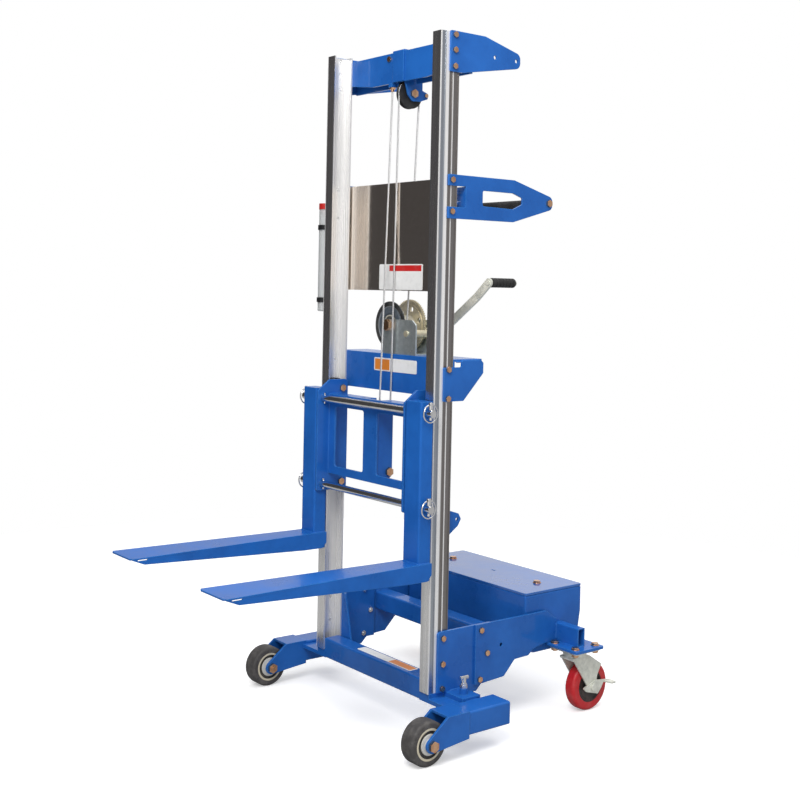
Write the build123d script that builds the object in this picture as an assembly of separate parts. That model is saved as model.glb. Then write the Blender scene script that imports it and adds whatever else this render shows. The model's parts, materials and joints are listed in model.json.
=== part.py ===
from build123d import *
import os
from math import acos, asin, atan2, cos, pi, sin, sqrt, tan

# Hand-winched counterweight lift. X runs across the mast, Y from the forks to the rear and
# Z up from the floor, in mm. The pieces are made with Y = 0 on the front of the columns.
# They then move along Y once, so that the origin lies on the floor under the middle.

# Fits
RUNNING = 0.05
PIN_PLAY = 0.2
SIDE_PLAY = 0.35
ROPE_PLAY = 0.35

# Outer corners of tubes and folded sheet
TUBE_ROUND = 5.0
SMALL_ROUND = 2.5

# Bolts: hexagon heads and nuts in proportion to the shank
HEAD_SPREAD = 1.9
HEAD_RISE = 1.2
SMALL_BOLT = 4.0
MID_BOLT = 5.0
AXLE_BOLT = 6.0

# Mast columns: channels open inward, grooved outside
MAST_HEIGHT = 1700.0
MAST_WIDTH = 472.0
COLUMN_FOOT = 112.0
COLUMN_WIDTH = 32.0
COLUMN_DEPTH = 58.0
COLUMN_WALL = 4.0
COLUMN_WEB = 4.5
GROOVE_DEPTH = 1.4
FRONT_GROOVE = 12.0
FRONT_LIP = 3.0
RAISED_STRIP = 12.0
MIDDLE_GROOVE = 10.0
THIN_RIDGE = 4.0
REAR_LIP = 3.0
COLUMN_BOLT_LINE = 39.0

# Plates bolted on the columns
UPPER_PLATE = 5.0
TOP_BOLTS = (7.5, 44.0, 83.0)
TOP_BRACKET_REACH = 196.0
TOP_BRACKET_RISE = 2.0
TOP_BRACKET_DROP = 96.0
TOP_BRACKET_HOLE = 5.0
TOP_HOLE_FRONT = 111.5
TOP_HOLE_REAR = 183.4
TOP_HOLE_DROP = 45.0

# Top beam, its strap and the sheave clevis
BEAM_WALL = 5.0
BEAM_TOP_DROP = 11.5
BEAM_HEIGHT = 77.5
BEAM_REACH = 42.0
BEAM_REAR_DROP = 4.0
STRAP_WIDTH = 44.0
STRAP_WALL = 4.0
STRAP_BOLT_SIDE = 39.6
STRAP_BOLT_DROP = 14.0
CLEVIS_GAP = 26.0
CLEVIS_WALL = 5.0
CLEVIS_FOOT = 82.0
TOP_AXLE_BEHIND = 35.0
TOP_AXLE_DROP = 117.0
KEEPER_RADIUS = 3.0

# Hoist rope and sheaves
ROPE_RADIUS = 2.4
TOP_PITCH_RADIUS = 33.0
TOP_RIM = 4.0
LOW_PITCH_RADIUS = 18.7
LOW_RIM = 3.2
SHEAVE_HALF_WIDTH = 7.0
ANCHOR_SIDE = 31.0
ANCHOR_BEHIND = 4.0
ANCHOR_DROP = 110.0
FERRULE_RADIUS = 4.4

# Back panel and handle
PANEL_SHEET = 2.0
PANEL_HALF_WIDTH = 230.0
PANEL_ABOVE_DECK = 163.0
PANEL_ABOVE_HANDLE = 46.0
PANEL_STANDOFF = 4.0
PANEL_BOLT_SPREAD = 12.0
HANDLE_HEIGHT = 1308.0
HANDLE_REACH = 307.0
HANDLE_BOLT_SPREAD = 38.0
GRIP_RADIUS = 13.0
NOTCH_REACH = 25.0
NOTCH_DROP = 27.0
NOTCH_RISE = 24.0
TAB_LENGTH = 50.0

# Winch support
DECK_HEIGHT = 914.0
DECK_PLATE = 6.0
DECK_REACH = 92.0
SUPPORT_HEIGHT = 96.0
SUPPORT_WALL = 5.0

# Winch
WINCH_SHEET = 4.0
WINCH_FRONT = 4.0
WINCH_DEPTH = 84.0
WINCH_HEIGHT = 89.0
WINCH_LEFT = 52.0
WINCH_RIGHT = 85.0
DRUM_HEIGHT = 74.0
DRUM_CORE = 25.2
DRUM_FLANGE_RADIUS = 61.0
DRUM_FLANGE = 3.0
DRUM_SHAFT = 8.0
GEAR_TEETH = 65
PINION_TEETH = 13
TOOTH_MODULE = 2.0
GEAR_WIDTH = 6.0
PINION_WIDTH = 10.0
PINION_DROP = 20.0
ADDENDUM = 0.75
DEDENDUM = 1.1
BACKLASH = 0.5
WRAPS = 5
WRAP_PITCH = 5.6
CRANK_LENGTH = 207.0
CRANK_ANGLE = 40.3
CRANK_BAR = 22.0
CRANK_SHEET = 6.0
CRANK_STANDOFF = 28.0
CRANK_BENDS = (30.0, 150.0)
CRANK_OFFSET = 20.0
CRANK_GRIP_RADIUS = 12.0
CRANK_GRIP_LENGTH = 79.0
CRANK_PIN = 5.0
CRANK_COLLAR = 3.0
PAWL_SHEET = 5.0
PAWL_SIDE = 28.0
PAWL_DROP = 22.0
PAWL_GAP = 0.6

# Document tube
TUBE_RADIUS = 18.0
TUBE_WALL = 2.0
TUBE_LOW = 1017.0
TUBE_HIGH = 1293.0
TUBE_STANDOFF = 10.0
TUBE_BEHIND = 22.0
CAP_RISE = 16.0
CAP_PLUG = 12.0
CLIP_HEIGHTS = (1048.0, 1244.0)
CLIP_HEIGHT = 13.0
CLIP_WALL = 2.5

# Lug behind the right column
LUG_SHEET = 8.0
LUG_HEIGHT = 522.0
LUG_HOLE = 5.0
LUG_REACH = 34.0

# Carriage
CARRIAGE_SIDE = 181.0
CARRIAGE_SHEET = 6.0
CARRIAGE_LOW = 545.0
CARRIAGE_HIGH = 838.0
CARRIAGE_REAR = 47.0
CARRIAGE_FRONT = 49.0
FRONT_SHEET = 5.0
FRONT_FACE = 12.0
FRONT_LOW = 590.0
FRONT_HIGH = 800.0
WINDOW_INNER = 28.0
WINDOW_OUTER = 154.0
WINDOW_LOW = 611.0
WINDOW_HIGH = 769.0
TOP_FLANGE = 42.0
CHEEK_HALF_GAP = 20.0
CHEEK_SHEET = 5.0
CHEEK_REAR = 42.0
LOW_AXLE_BEHIND = 31.5
LOW_AXLE_HEIGHT = 617.0
ROLLER_HEIGHTS = (565.0, 815.0)
ROLLER_WIDTH = 22.0
ROLLER_AXLE = 5.0

# Cross bars, forks and linchpins
BAR_RADIUS = 9.5
BAR_FRONT = 30.0
BAR_HEIGHTS = (563.0, 789.0)
BAR_HALF_LENGTH = 272.0
ROLL_PIN = 2.5
ROLL_PIN_INSET = 4.0
ROLL_PIN_REACH = 14.0
UPRIGHT_WIDTH = 60.0
UPRIGHT_DEPTH = 39.0
UPRIGHT_TOP = 816.0
FORK_WALL = 4.0
FORK_GAP = 2.0
BLADE_TOP = 432.0
BLADE_SHEET = 4.0
HEEL_DEPTH = 42.0
TIP_DEPTH = 17.0
TIP_SLOPE = 36.0
FORK_REACH = 583.0
FORK_REAR = 10.0
TIP_WIDTH = 110.0
SLIT_START = 18.0
SLIT_LENGTH = 26.0
SLIT_HEIGHT = 3.0
LINCHPIN_RADIUS = 4.0
LINCHPIN_INSET = 11.0
LINCHPIN_HEAD = 5.5
LINCHPIN_CROWN = 5.5
RING_RADIUS = 21.0
RING_WIRE = 1.8
HINGE_RISE = 21.0

# Front cross member and legs
BASE_BOTTOM = 90.0
BASE_TOP = 142.0
BASE_FRONT = 4.0
BASE_DEPTH = 50.0
BASE_WALL = 4.0
END_REACH = 106.0
END_SHEET = 6.0
END_PLATE = 10.0
LEG_SIDE = 306.0
LEG_WIDTH = 65.0
LEG_BOTTOM = 52.0
LEG_TOP = 107.0
LEG_REAR = 143.0
LEG_FRONT = 8.0
LEG_WALL = 4.0
CHEEK_PLATE = 6.0
CHEEK_STEP = 2.0
CHEEK_REAR_END = 14.0
CHEEK_TOP_FRONT = 50.0
AXLE_FRONT = 96.0
NOSE_RADIUS = 17.0
FRONT_WHEEL_RADIUS = 52.0
FRONT_TYRE_WIDTH = 44.0
FRONT_HUB_RADIUS = 37.0
HUB_BOSS = 16.0
HUB_GROOVE_IN = 25.0
HUB_GROOVE_OUT = 31.0
FRONT_AXLE = 7.0

# Spring plungers
PLUNGER_SIDE = 280.0
PLUNGER_BEHIND = 75.0
PLUNGER_PIN = 6.0
PLUNGER_BOSS = 9.5
PLUNGER_BOSS_HEIGHT = 15.0
PLUNGER_BARREL = 8.0
PLUNGER_BARREL_HEIGHT = 13.0
PLUNGER_HEAD_RISE = 12.0
PLUNGER_HEAD_LENGTH = 24.0
PLUNGER_HEAD_RADIUS = 5.0
TONGUE_SHEET = 7.0
PLUNGER_TIP = 2.0

# Mast brackets and rear side plates
LOWER_PLATE = 6.0
BRACKET_FRONT = 24.0
BRACKET_REAR = 194.0
BRACKET_TOP = 259.0
BRACKET_TOE = (150.0, 168.0)
BRACKET_TOE_DROP = 17.0
BRACKET_FLANGE_TOP = 15.0
BRACKET_FLANGE_FOOT = 49.0
MAST_BOLTS = (121.0, 180.6, 242.5)
SEAM = 140.0
SIDE_TOP = 260.0
SIDE_EDGE = (
    (0.0, 177.0),
    (39.0, 177.0),
    (81.0, 169.5),
    (99.0, 155.0),
    (147.0, 153.5),
    (183.0, 117.0),
    (251.0, 113.0),
)
SIDE_PAD = (185.0, 250.0)
SIDE_BOLTS = ((157.0, 245.0), (177.5, 186.0), (155.0, 124.0))
SIDE_HOLE = (226.0, 198.0)
SIDE_HOLE_RADIUS = 5.0
CROSS_TUBE_FRONT = 200.0
CROSS_TUBE_SIZE = 49.0
CROSS_TUBE_BOTTOM = 184.0
CROSS_TUBE_WALL = 4.0

# Counterweight
WEIGHT_HALF_WIDTH = 238.0
WEIGHT_FRONT = 317.0
WEIGHT_LENGTH = 205.0
WEIGHT_BOTTOM = 153.0
WEIGHT_TOP = 310.6
COVER_SHEET = 6.0
COVER_SCREW_SIDE = 170.0
COVER_SCREW_BEHIND = 424.0
COVER_SLOT = 16.0
WEIGHT_ROUND = 40.0

# Casters
CASTER_BEAM_FRONT = 420.0
CASTER_BEAM_DEPTH = 25.0
CASTER_BEAM_HEIGHT = 48.0
CASTER_BEAM_HALF = 325.0
CASTER_BEAM_WALL = 3.0
CASTER_PLATE_TOP = 176.0
CASTER_PLATE = 7.0
CASTER_PLATE_X = 110.0
CASTER_PLATE_Y = 102.0
CASTER_SIDE = 295.5
CASTER_BEHIND = 441.0
CASTER_BOLT_X = 72.0
CASTER_BOLT_Y = 72.0
CASTER_TOP_SHEET = 5.0
CASTER_RACE = 30.0
CASTER_RACE_DEPTH = 17.0
CASTER_CROWN = 6.0
CASTER_TRAIL = 44.0
CASTER_RADIUS = 63.5
CASTER_WIDTH = 32.0
CASTER_HUB_RADIUS = 42.0
FORK_LEG = 4.0
FORK_LEG_GAP = 3.5
FORK_WING_TOP = (76.0, 118.0)
FORK_WING_LOW = (61.0, 90.0)
KING_PIN = 6.0
PEDAL_SHEET = 4.0
PEDAL_TAB = 26.0
PEDAL_REACH = 62.0

# Places that follow from the sizes above
outer = MAST_WIDTH / 2
inner = outer - COLUMN_WIDTH
rear = COLUMN_DEPTH
plate_out = outer + UPPER_PLATE
beam_top = MAST_HEIGHT - BEAM_TOP_DROP
panel_face = rear + PANEL_STANDOFF
tab_face = rear + NOTCH_REACH
wound_radius = DRUM_CORE + ROPE_PLAY + ROPE_RADIUS
drum_x = -wound_radius
drum_z = DECK_HEIGHT + DRUM_HEIGHT
gear_centres = TOOTH_MODULE * (GEAR_TEETH + PINION_TEETH) / 2
pinion_z = drum_z - PINION_DROP
pinion_x = drum_x + sqrt(gear_centres**2 - PINION_DROP**2)
winch_y = rear + WINCH_FRONT
top_axle = (rear + TOP_AXLE_BEHIND, MAST_HEIGHT - TOP_AXLE_DROP)
low_axle = (LOW_AXLE_BEHIND, LOW_AXLE_HEIGHT)
anchor = (-ANCHOR_SIDE, rear + ANCHOR_BEHIND, MAST_HEIGHT - ANCHOR_DROP)
upright_in = CARRIAGE_SIDE + CARRIAGE_SHEET + FORK_GAP
upright_mid = upright_in + UPRIGHT_WIDTH / 2
bar_y = -BAR_FRONT
wheel_x = LEG_SIDE + (LEG_WIDTH + CHEEK_STEP) / 2
caster_wheel_y = CASTER_BEHIND + CASTER_TRAIL
bracket_out = outer + LOWER_PLATE
side_out = bracket_out + LOWER_PLATE


def outline(points, radius=0.0):
    """A flat face inside a closed line of points, with rounded corners where asked."""
    if not radius:
        return make_face(Polyline(*points, close=True))
    return make_face(FilletPolyline(*points, radius=radius, close=True))


def disc(u, v, radius):
    return Pos(u, v) * Circle(radius)


def along_x(sketch, low, high):
    """Thicken a (y, z) outline from low to high along X."""
    return extrude(Plane.YZ.offset(low) * sketch, amount=high - low, dir=(1, 0, 0))


def along_y(sketch, low, high):
    """Thicken an (x, z) outline from low to high along Y."""
    return extrude(Plane.XZ.offset(-low) * sketch, amount=high - low, dir=(0, 1, 0))


def along_z(sketch, low, high):
    """Thicken an (x, y) outline from low to high along Z."""
    return extrude(Plane.XY.offset(low) * sketch, amount=high - low, dir=(0, 0, 1))


def block(x, y, z):
    """A box between pairs of limits along X, Y and Z."""
    middle = Pos((x[0] + x[1]) / 2, (y[0] + y[1]) / 2, (z[0] + z[1]) / 2)
    return middle * Box(x[1] - x[0], y[1] - y[0], z[1] - z[0])


def bolt(at, out, grip, radius, nut=False):
    """A hexagon bolt whose head rests on the point at and looks along out."""
    face = Plane(origin=at, z_dir=out)
    back = tuple(-part for part in out)
    rise = HEAD_RISE * radius
    piece = extrude(face * RegularPolygon(HEAD_SPREAD * radius, 6), amount=rise, dir=out)
    length = grip + (rise + 2 if nut else 0)
    piece += extrude(face * Circle(radius), amount=length, dir=back)
    if nut:
        end = face.offset(-grip)
        piece += extrude(end * RegularPolygon(HEAD_SPREAD * radius, 6), amount=rise, dir=back)
    return piece


def bore(at, out, depth, radius):
    """The hole that a bolt at the same place needs."""
    back = tuple(-part for part in out)
    face = Plane(origin=at, z_dir=out).offset(1)
    return extrude(face * Circle(radius), amount=depth + 2, dir=back)


def mirrored(piece):
    return mirror(piece, about=Plane.YZ)


def group(pieces):
    """One node of several separate solids."""
    return Compound([solid for piece in pieces for solid in piece.solids()])


def tangent(first, first_radius, first_side, second, second_radius, second_side):
    """Touching points, in (y, z), of a run from one circle to another.

    A side is 1 where the circle lies to the left of the run and -1 where to the right.
    """
    dy = second[0] - first[0]
    dz = second[1] - first[1]
    offset = second_side * second_radius - first_side * first_radius
    angle = atan2(dz, dy) - asin(offset / sqrt(dy**2 + dz**2))
    left = (-sin(angle), cos(angle))
    start = tuple(c - first_side * first_radius * n for c, n in zip(first, left))
    end = tuple(c - second_side * second_radius * n for c, n in zip(second, left))
    return start, end


def biarc(start, start_way, end, end_way):
    """Two arcs that leave start along start_way and reach end along end_way."""
    p = Vector(start)
    q = Vector(end)
    s = Vector(start_way).normalized()
    e = Vector(end_way).normalized()
    gap = q - p
    both = gap.dot(s + e)
    bend = 2 * (1 - s.dot(e))
    reach = (sqrt(both**2 + bend * gap.dot(gap)) - both) / bend
    middle = (p + s * reach + q - e * reach) * 0.5
    middle_way = (q - e * reach) - (p + s * reach)
    return [
        TangentArc(p, middle, tangent=s),
        TangentArc(middle, q, tangent=middle_way),
    ]


def rope(edges):
    path = Wire(edges)
    start = Plane(origin=path @ 0, z_dir=path % 0)
    return sweep(start * Circle(ROPE_RADIUS), path=path)


def gear_outline(teeth, x, z, first_angle):
    """Involute teeth in (x, z), with one tooth centred on first_angle."""
    pressure = pi / 9
    pitch = TOOTH_MODULE * teeth / 2
    base = pitch * cos(pressure)
    tip = pitch + ADDENDUM * TOOTH_MODULE
    root = pitch - DEDENDUM * TOOTH_MODULE
    half_pitch = pi / (2 * teeth) - BACKLASH / (2 * pitch)

    def half_angle(radius):
        slope = acos(min(1.0, base / radius))
        return half_pitch + (tan(pressure) - pressure) - (tan(slope) - slope)

    flank = [root, max(base, root + 0.01), pitch, tip]
    points = []
    for tooth in range(teeth):
        centre = first_angle + tooth * 2 * pi / teeth
        rising = [(radius, centre - half_angle(radius)) for radius in flank]
        falling = [(radius, centre + half_angle(radius)) for radius in reversed(flank)]
        for radius, angle in rising + falling:
            points.append((x + radius * cos(angle), z + radius * sin(angle)))
    return outline(points)


def sheave(axle, pitch_radius, rim, hub_half, hub_radius):
    """A grooved rope wheel on the X axis."""
    root = pitch_radius - ROPE_RADIUS - ROPE_PLAY
    hole = AXLE_BOLT + RUNNING
    half = [
        (hub_half, hole),
        (hub_half, hub_radius),
        (SHEAVE_HALF_WIDTH, hub_radius),
        (SHEAVE_HALF_WIDTH, pitch_radius + rim),
        (SHEAVE_HALF_WIDTH - 2, pitch_radius + rim),
        (ROPE_RADIUS + ROPE_PLAY, root),
    ]
    profile = half + [(-x, r) for x, r in reversed(half)]
    return Pos(0, axle[0], axle[1]) * revolve(outline(profile), axis=Axis.X)


def column():
    """Right column with the holes of every plate that is bolted on it."""
    edge = outer - GROOVE_DEPTH
    front = FRONT_LIP + FRONT_GROOVE
    middle = front + RAISED_STRIP
    ridge = middle + MIDDLE_GROOVE
    grooves = [
        (FRONT_LIP, front),
        (middle, ridge),
        (ridge + THIN_RIDGE, COLUMN_DEPTH - REAR_LIP),
    ]
    points = [(inner, 0), (outer, 0)]
    for start, end in grooves:
        points += [(outer, start), (edge, start), (edge, end), (outer, end)]
    points += [
        (outer, COLUMN_DEPTH),
        (inner, COLUMN_DEPTH),
        (inner, COLUMN_DEPTH - COLUMN_WALL),
        (outer - COLUMN_WEB, COLUMN_DEPTH - COLUMN_WALL),
        (outer - COLUMN_WEB, COLUMN_WALL),
        (inner, COLUMN_WALL),
    ]
    piece = along_z(outline(points), COLUMN_FOOT, MAST_HEIGHT)
    for z in column_bolt_heights():
        piece -= bore((outer, COLUMN_BOLT_LINE, z), (1, 0, 0), COLUMN_WEB, SMALL_BOLT + PIN_PLAY)
    return piece


def top_bolts():
    return [MAST_HEIGHT - drop for drop in TOP_BOLTS]


def handle_bolts():
    return [HANDLE_HEIGHT - HANDLE_BOLT_SPREAD, HANDLE_HEIGHT + HANDLE_BOLT_SPREAD]


def support_bolts():
    return [DECK_HEIGHT - SUPPORT_HEIGHT + 2, DECK_HEIGHT - 24]


def column_bolt_heights():
    return top_bolts() + handle_bolts() + support_bolts() + list(MAST_BOLTS)


def plate_holes(piece, out_face, sheet, heights):
    """Cut the column bolts' holes in a right-hand plate."""
    for z in heights:
        piece -= bore((out_face, COLUMN_BOLT_LINE, z), (1, 0, 0), sheet, SMALL_BOLT + PIN_PLAY)
    return piece


def top_brackets():
    """Side plates on the tops of the columns."""
    low = MAST_HEIGHT - TOP_BRACKET_DROP
    high = MAST_HEIGHT + TOP_BRACKET_RISE
    tip = rear + TOP_BRACKET_REACH
    bracket = outline(
        [
            (COLUMN_BOLT_LINE - 13, low),
            (COLUMN_BOLT_LINE - 13, high),
            (rear + 78, high),
            (tip, high - 30),
            (tip, high - 64),
            (rear + 6, low),
        ],
        radius=[3, 3, 12, 16, 16, 8],
    )
    for y in (TOP_HOLE_FRONT, TOP_HOLE_REAR):
        bracket -= disc(rear + y, MAST_HEIGHT - TOP_HOLE_DROP, TOP_BRACKET_HOLE)
    side = plate_holes(along_x(bracket, outer, plate_out), plate_out, UPPER_PLATE, top_bolts())
    return group([side, mirrored(side)])


def top_beam():
    """Channel beam between the top brackets, with the rope's anchor block."""
    top = beam_top
    bottom = top - BEAM_HEIGHT
    front = outline(
        [
            (-outer, top),
            (outer, top),
            (outer, bottom + 12),
            (inner, bottom + 12),
            (inner - 90, bottom),
            (90 - inner, bottom),
            (-inner, bottom + 12),
            (-outer, bottom + 12),
        ]
    )
    back = rear + BEAM_REACH
    piece = along_y(front, rear, rear + BEAM_WALL)
    piece += block((-outer, outer), (rear, back), (top - BEAM_WALL, top))
    behind = block((STRAP_WIDTH / 2 + 4, outer), (back - BEAM_WALL, back), (bottom - BEAM_REAR_DROP, top))
    piece += behind
    piece += mirrored(behind)
    x, y, z = anchor
    piece += block((x - 7, x + 7), (y - 8, y + 8), (bottom - 10, bottom))
    piece -= bore((x, y, bottom - 10), (0, 0, -1), 8, SMALL_BOLT + PIN_PLAY)
    return piece - bore(strap_bolt(), (0, -1, 0), BEAM_WALL, SMALL_BOLT + PIN_PLAY)


def strap_bolt():
    """Place of the bolt beside the strap, on the beam's front."""
    return -STRAP_BOLT_SIDE, rear, beam_top - STRAP_BOLT_DROP


def sheave_clevis():
    """Strap over the beam, with the two plates that carry the top sheave."""
    top = beam_top
    half = STRAP_WIDTH / 2
    back = rear + BEAM_REACH
    y, z = top_axle
    strap = outline(
        [
            (rear - STRAP_WALL, top - BEAM_HEIGHT + 1),
            (rear - STRAP_WALL, top + STRAP_WALL),
            (back + STRAP_WALL, top + STRAP_WALL),
            (back + STRAP_WALL, top - 48),
            (back, top - 48),
            (back, top),
            (rear, top),
            (rear, top - BEAM_HEIGHT + 1),
        ],
        radius=[0, 3, 3, 0, 0, 0, 0, 0],
    )
    cheek = outline(
        [
            (rear + BEAM_WALL + 2, top - BEAM_WALL - 1),
            (back + STRAP_WALL, top - BEAM_WALL - 1),
            (y + 29, z + 28),
            (y + 29, z + 11),
            (y + CLEVIS_FOOT / 2 + 6, z + 5),
            (y + CLEVIS_FOOT / 2 + 6, z - 9),
            (y + 22, z - 18),
            (y - 3, z - 19),
            (y - 17, z - 4),
            (rear + BEAM_WALL + 2, z + 30),
        ],
        radius=[0, 0, 0, 2, 3, 3, 6, 8, 8, 4],
    )
    cheek -= disc(y, z, AXLE_BOLT + PIN_PLAY)
    cheek -= disc(y + CLEVIS_FOOT / 2, z - 1, KEEPER_RADIUS + PIN_PLAY)
    gap = CLEVIS_GAP / 2
    plate = along_x(cheek, gap, gap + CLEVIS_WALL)
    return along_x(strap, -half, half) + plate + mirrored(plate)


def panel_bolts():
    """(x, z) of the two bolts on the right that hold the panel on its tab."""
    x = outer - TAB_LENGTH / 2
    middle = HANDLE_HEIGHT + (NOTCH_RISE - NOTCH_DROP) / 2
    return [(x, middle - PANEL_BOLT_SPREAD), (x, middle + PANEL_BOLT_SPREAD)]


def handle_plates():
    """Plates with a window and a notch, from which the tab that carries the panel is bent."""
    z = HANDLE_HEIGHT
    tip = rear + HANDLE_REACH + 13
    front = COLUMN_BOLT_LINE - 11
    body = outline(
        [
            (front, z - 55),
            (front, z + 51),
            (rear + 186, z + 51),
            (tip, z + 15),
            (tip, z - 15),
            (rear + 184, z - 54),
        ],
        radius=[3, 3, 12, 14, 14, 12],
    )
    window = outline(
        [
            (rear + 80, z + 18),
            (rear + 182, z + 18),
            (rear + 214, z + 8),
            (rear + 214, z - 8),
            (rear + 183, z - 22),
            (rear + 80, z - 20),
        ],
        radius=5,
    )
    low = z - NOTCH_DROP
    high = z + NOTCH_RISE
    notch = outline([(front - 1, low), (front - 1, high), (tab_face, high), (tab_face, low)])
    body -= window
    body -= notch
    body -= disc(rear + HANDLE_REACH, z, MID_BOLT + PIN_PLAY)
    piece = plate_holes(along_x(body, outer, plate_out), plate_out, UPPER_PLATE, handle_bolts())
    tab = block((outer - TAB_LENGTH, outer), (tab_face, tab_face + UPPER_PLATE), (low, high))
    for x, at in panel_bolts():
        hole = disc(x, at, SMALL_BOLT + PIN_PLAY)
        tab -= along_y(hole, tab_face - 1, tab_face + UPPER_PLATE + 1)
    piece += tab
    return group([piece, mirrored(piece)])


def back_panel():
    low = DECK_HEIGHT + PANEL_ABOVE_DECK
    high = HANDLE_HEIGHT + PANEL_ABOVE_HANDLE
    half = PANEL_HALF_WIDTH
    sheet = outline([(-half, low), (half, low), (half, high), (-half, high)], radius=6)
    for x, z in panel_bolts():
        for side in (-1, 1):
            sheet -= disc(side * x, z, SMALL_BOLT + PIN_PLAY)
    return along_y(sheet, panel_face, panel_face + PANEL_SHEET)


def handle_grip():
    y = rear + HANDLE_REACH
    piece = along_x(disc(y, HANDLE_HEIGHT, GRIP_RADIUS), -outer, outer)
    for side in (-1, 1):
        piece -= bore((side * outer, y, HANDLE_HEIGHT), (side, 0, 0), 30, MID_BOLT + PIN_PLAY)
    return piece


def winch_support():
    """Cross member, deck and side plates under the winch, welded into one piece."""
    z = DECK_HEIGHT
    low = z - SUPPORT_HEIGHT
    side = outline(
        [
            (COLUMN_BOLT_LINE - 13, low - 5),
            (COLUMN_BOLT_LINE - 13, z - 19),
            (rear + 24, z - 19),
            (rear + 24, z - 3),
            (rear + DECK_REACH - 5, z - 3),
            (rear + DECK_REACH + 2, z - 10),
            (rear + DECK_REACH + 2, z - 35),
            (rear + 31, low - 5),
        ],
        radius=[3, 3, 3, 5, 3, 3, 6, 6],
    )
    plate = along_x(side, outer, plate_out)
    plate = plate_holes(plate, plate_out, UPPER_PLATE, support_bolts())
    piece = block((-outer, outer), (rear, rear + SUPPORT_WALL), (low, z))
    piece += block((-outer, outer), (rear, rear + DECK_REACH), (z - DECK_PLATE, z))
    return piece + plate + mirrored(plate)


def winch_frame():
    """Zinc-plated channel: foot, front plate and rear plate with the shafts' bores."""
    z = DECK_HEIGHT
    top = z + WINCH_HEIGHT
    wall = outline(
        [
            (-WINCH_LEFT, z),
            (-WINCH_LEFT, top),
            (WINCH_RIGHT - 16, top),
            (WINCH_RIGHT, top - 12),
            (WINCH_RIGHT, z),
        ],
        radius=[0, 10, 8, 8, 0],
    )
    wall -= disc(drum_x, drum_z, DRUM_SHAFT + PIN_PLAY)
    wall -= disc(pinion_x, pinion_z, DRUM_SHAFT + RUNNING)
    back = wall - disc(pinion_x + PAWL_SIDE, pinion_z - PAWL_DROP, SMALL_BOLT + PIN_PLAY)
    end = winch_y + WINCH_DEPTH
    piece = along_y(wall, winch_y, winch_y + WINCH_SHEET)
    piece += along_y(back, end - WINCH_SHEET, end)
    piece += block((-WINCH_LEFT, WINCH_RIGHT), (winch_y, end), (z, z + WINCH_SHEET))
    return piece


def gear_place():
    """Y limits of the drum gear, just in front of the rear plate."""
    end = winch_y + WINCH_DEPTH - WINCH_SHEET - 6
    return end - GEAR_WIDTH, end


def drum_start():
    return winch_y + WINCH_SHEET + SIDE_PLAY


def winch_drum():
    """Drum with its front disc, turning on the drum bolt."""
    start = drum_start()
    gear_front, gear_back = gear_place()
    ring = disc(drum_x, drum_z, DRUM_FLANGE_RADIUS)
    piece = along_y(ring, start, start + DRUM_FLANGE)
    for radius, step in ((48.0, 1.2), (30.0, 1.2)):
        rim = disc(drum_x, drum_z, radius) - disc(drum_x, drum_z, radius - 4)
        piece -= along_y(rim, start, start + step)
    piece += along_y(disc(drum_x, drum_z, DRUM_CORE), start, gear_front)
    hub_end = winch_y + WINCH_DEPTH - WINCH_SHEET - SIDE_PLAY
    piece += along_y(disc(drum_x, drum_z, 14.0), gear_front, hub_end)
    hole = disc(drum_x, drum_z, DRUM_SHAFT + RUNNING)
    return piece - along_y(hole, start - 1, hub_end + 1)


def drum_gear():
    towards = atan2(pinion_z - drum_z, pinion_x - drum_x)
    face = gear_outline(GEAR_TEETH, drum_x, drum_z, towards)
    face -= disc(drum_x, drum_z, 14.0 + RUNNING)
    for step in range(6):
        turn = step * pi / 3 + 0.3
        face -= disc(drum_x + 42 * cos(turn), drum_z + 42 * sin(turn), 7.0)
    front, back = gear_place()
    piece = along_y(face, front, back)
    rim = disc(drum_x, drum_z, 58.0) - disc(drum_x, drum_z, 53.0)
    return piece - along_y(rim, front, front + 1.5)


def pinion_shaft():
    """Crank shaft with its pinion, borne in both plates of the winch frame."""
    towards = atan2(drum_z - pinion_z, drum_x - pinion_x)
    front, back = gear_place()
    middle = (front + back) / 2
    end = winch_y + WINCH_DEPTH + CRANK_STANDOFF + CRANK_SHEET
    teeth = gear_outline(PINION_TEETH, pinion_x, pinion_z, towards + pi / PINION_TEETH)
    piece = along_y(disc(pinion_x, pinion_z, DRUM_SHAFT), winch_y - 3, end)
    piece += along_y(teeth, middle - PINION_WIDTH / 2, middle + PINION_WIDTH / 2)
    sleeve = disc(pinion_x, pinion_z, DRUM_SHAFT + 2)
    piece += along_y(sleeve, winch_y + WINCH_SHEET + SIDE_PLAY, middle)
    outside = winch_y + WINCH_DEPTH
    piece += along_y(sleeve, outside + SIDE_PLAY, outside + CRANK_STANDOFF)
    return piece


def crank_tip():
    turn = CRANK_ANGLE * pi / 180
    return pinion_x + CRANK_LENGTH * cos(turn), pinion_z + CRANK_LENGTH * sin(turn)


def crank_face():
    """Y of the crank arm's front face."""
    return winch_y + WINCH_DEPTH + CRANK_STANDOFF


def crank_end():
    """Y limits of the crank arm's outer end, behind its hub by the offset."""
    front = crank_face() + CRANK_OFFSET
    return front, front + CRANK_SHEET


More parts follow.
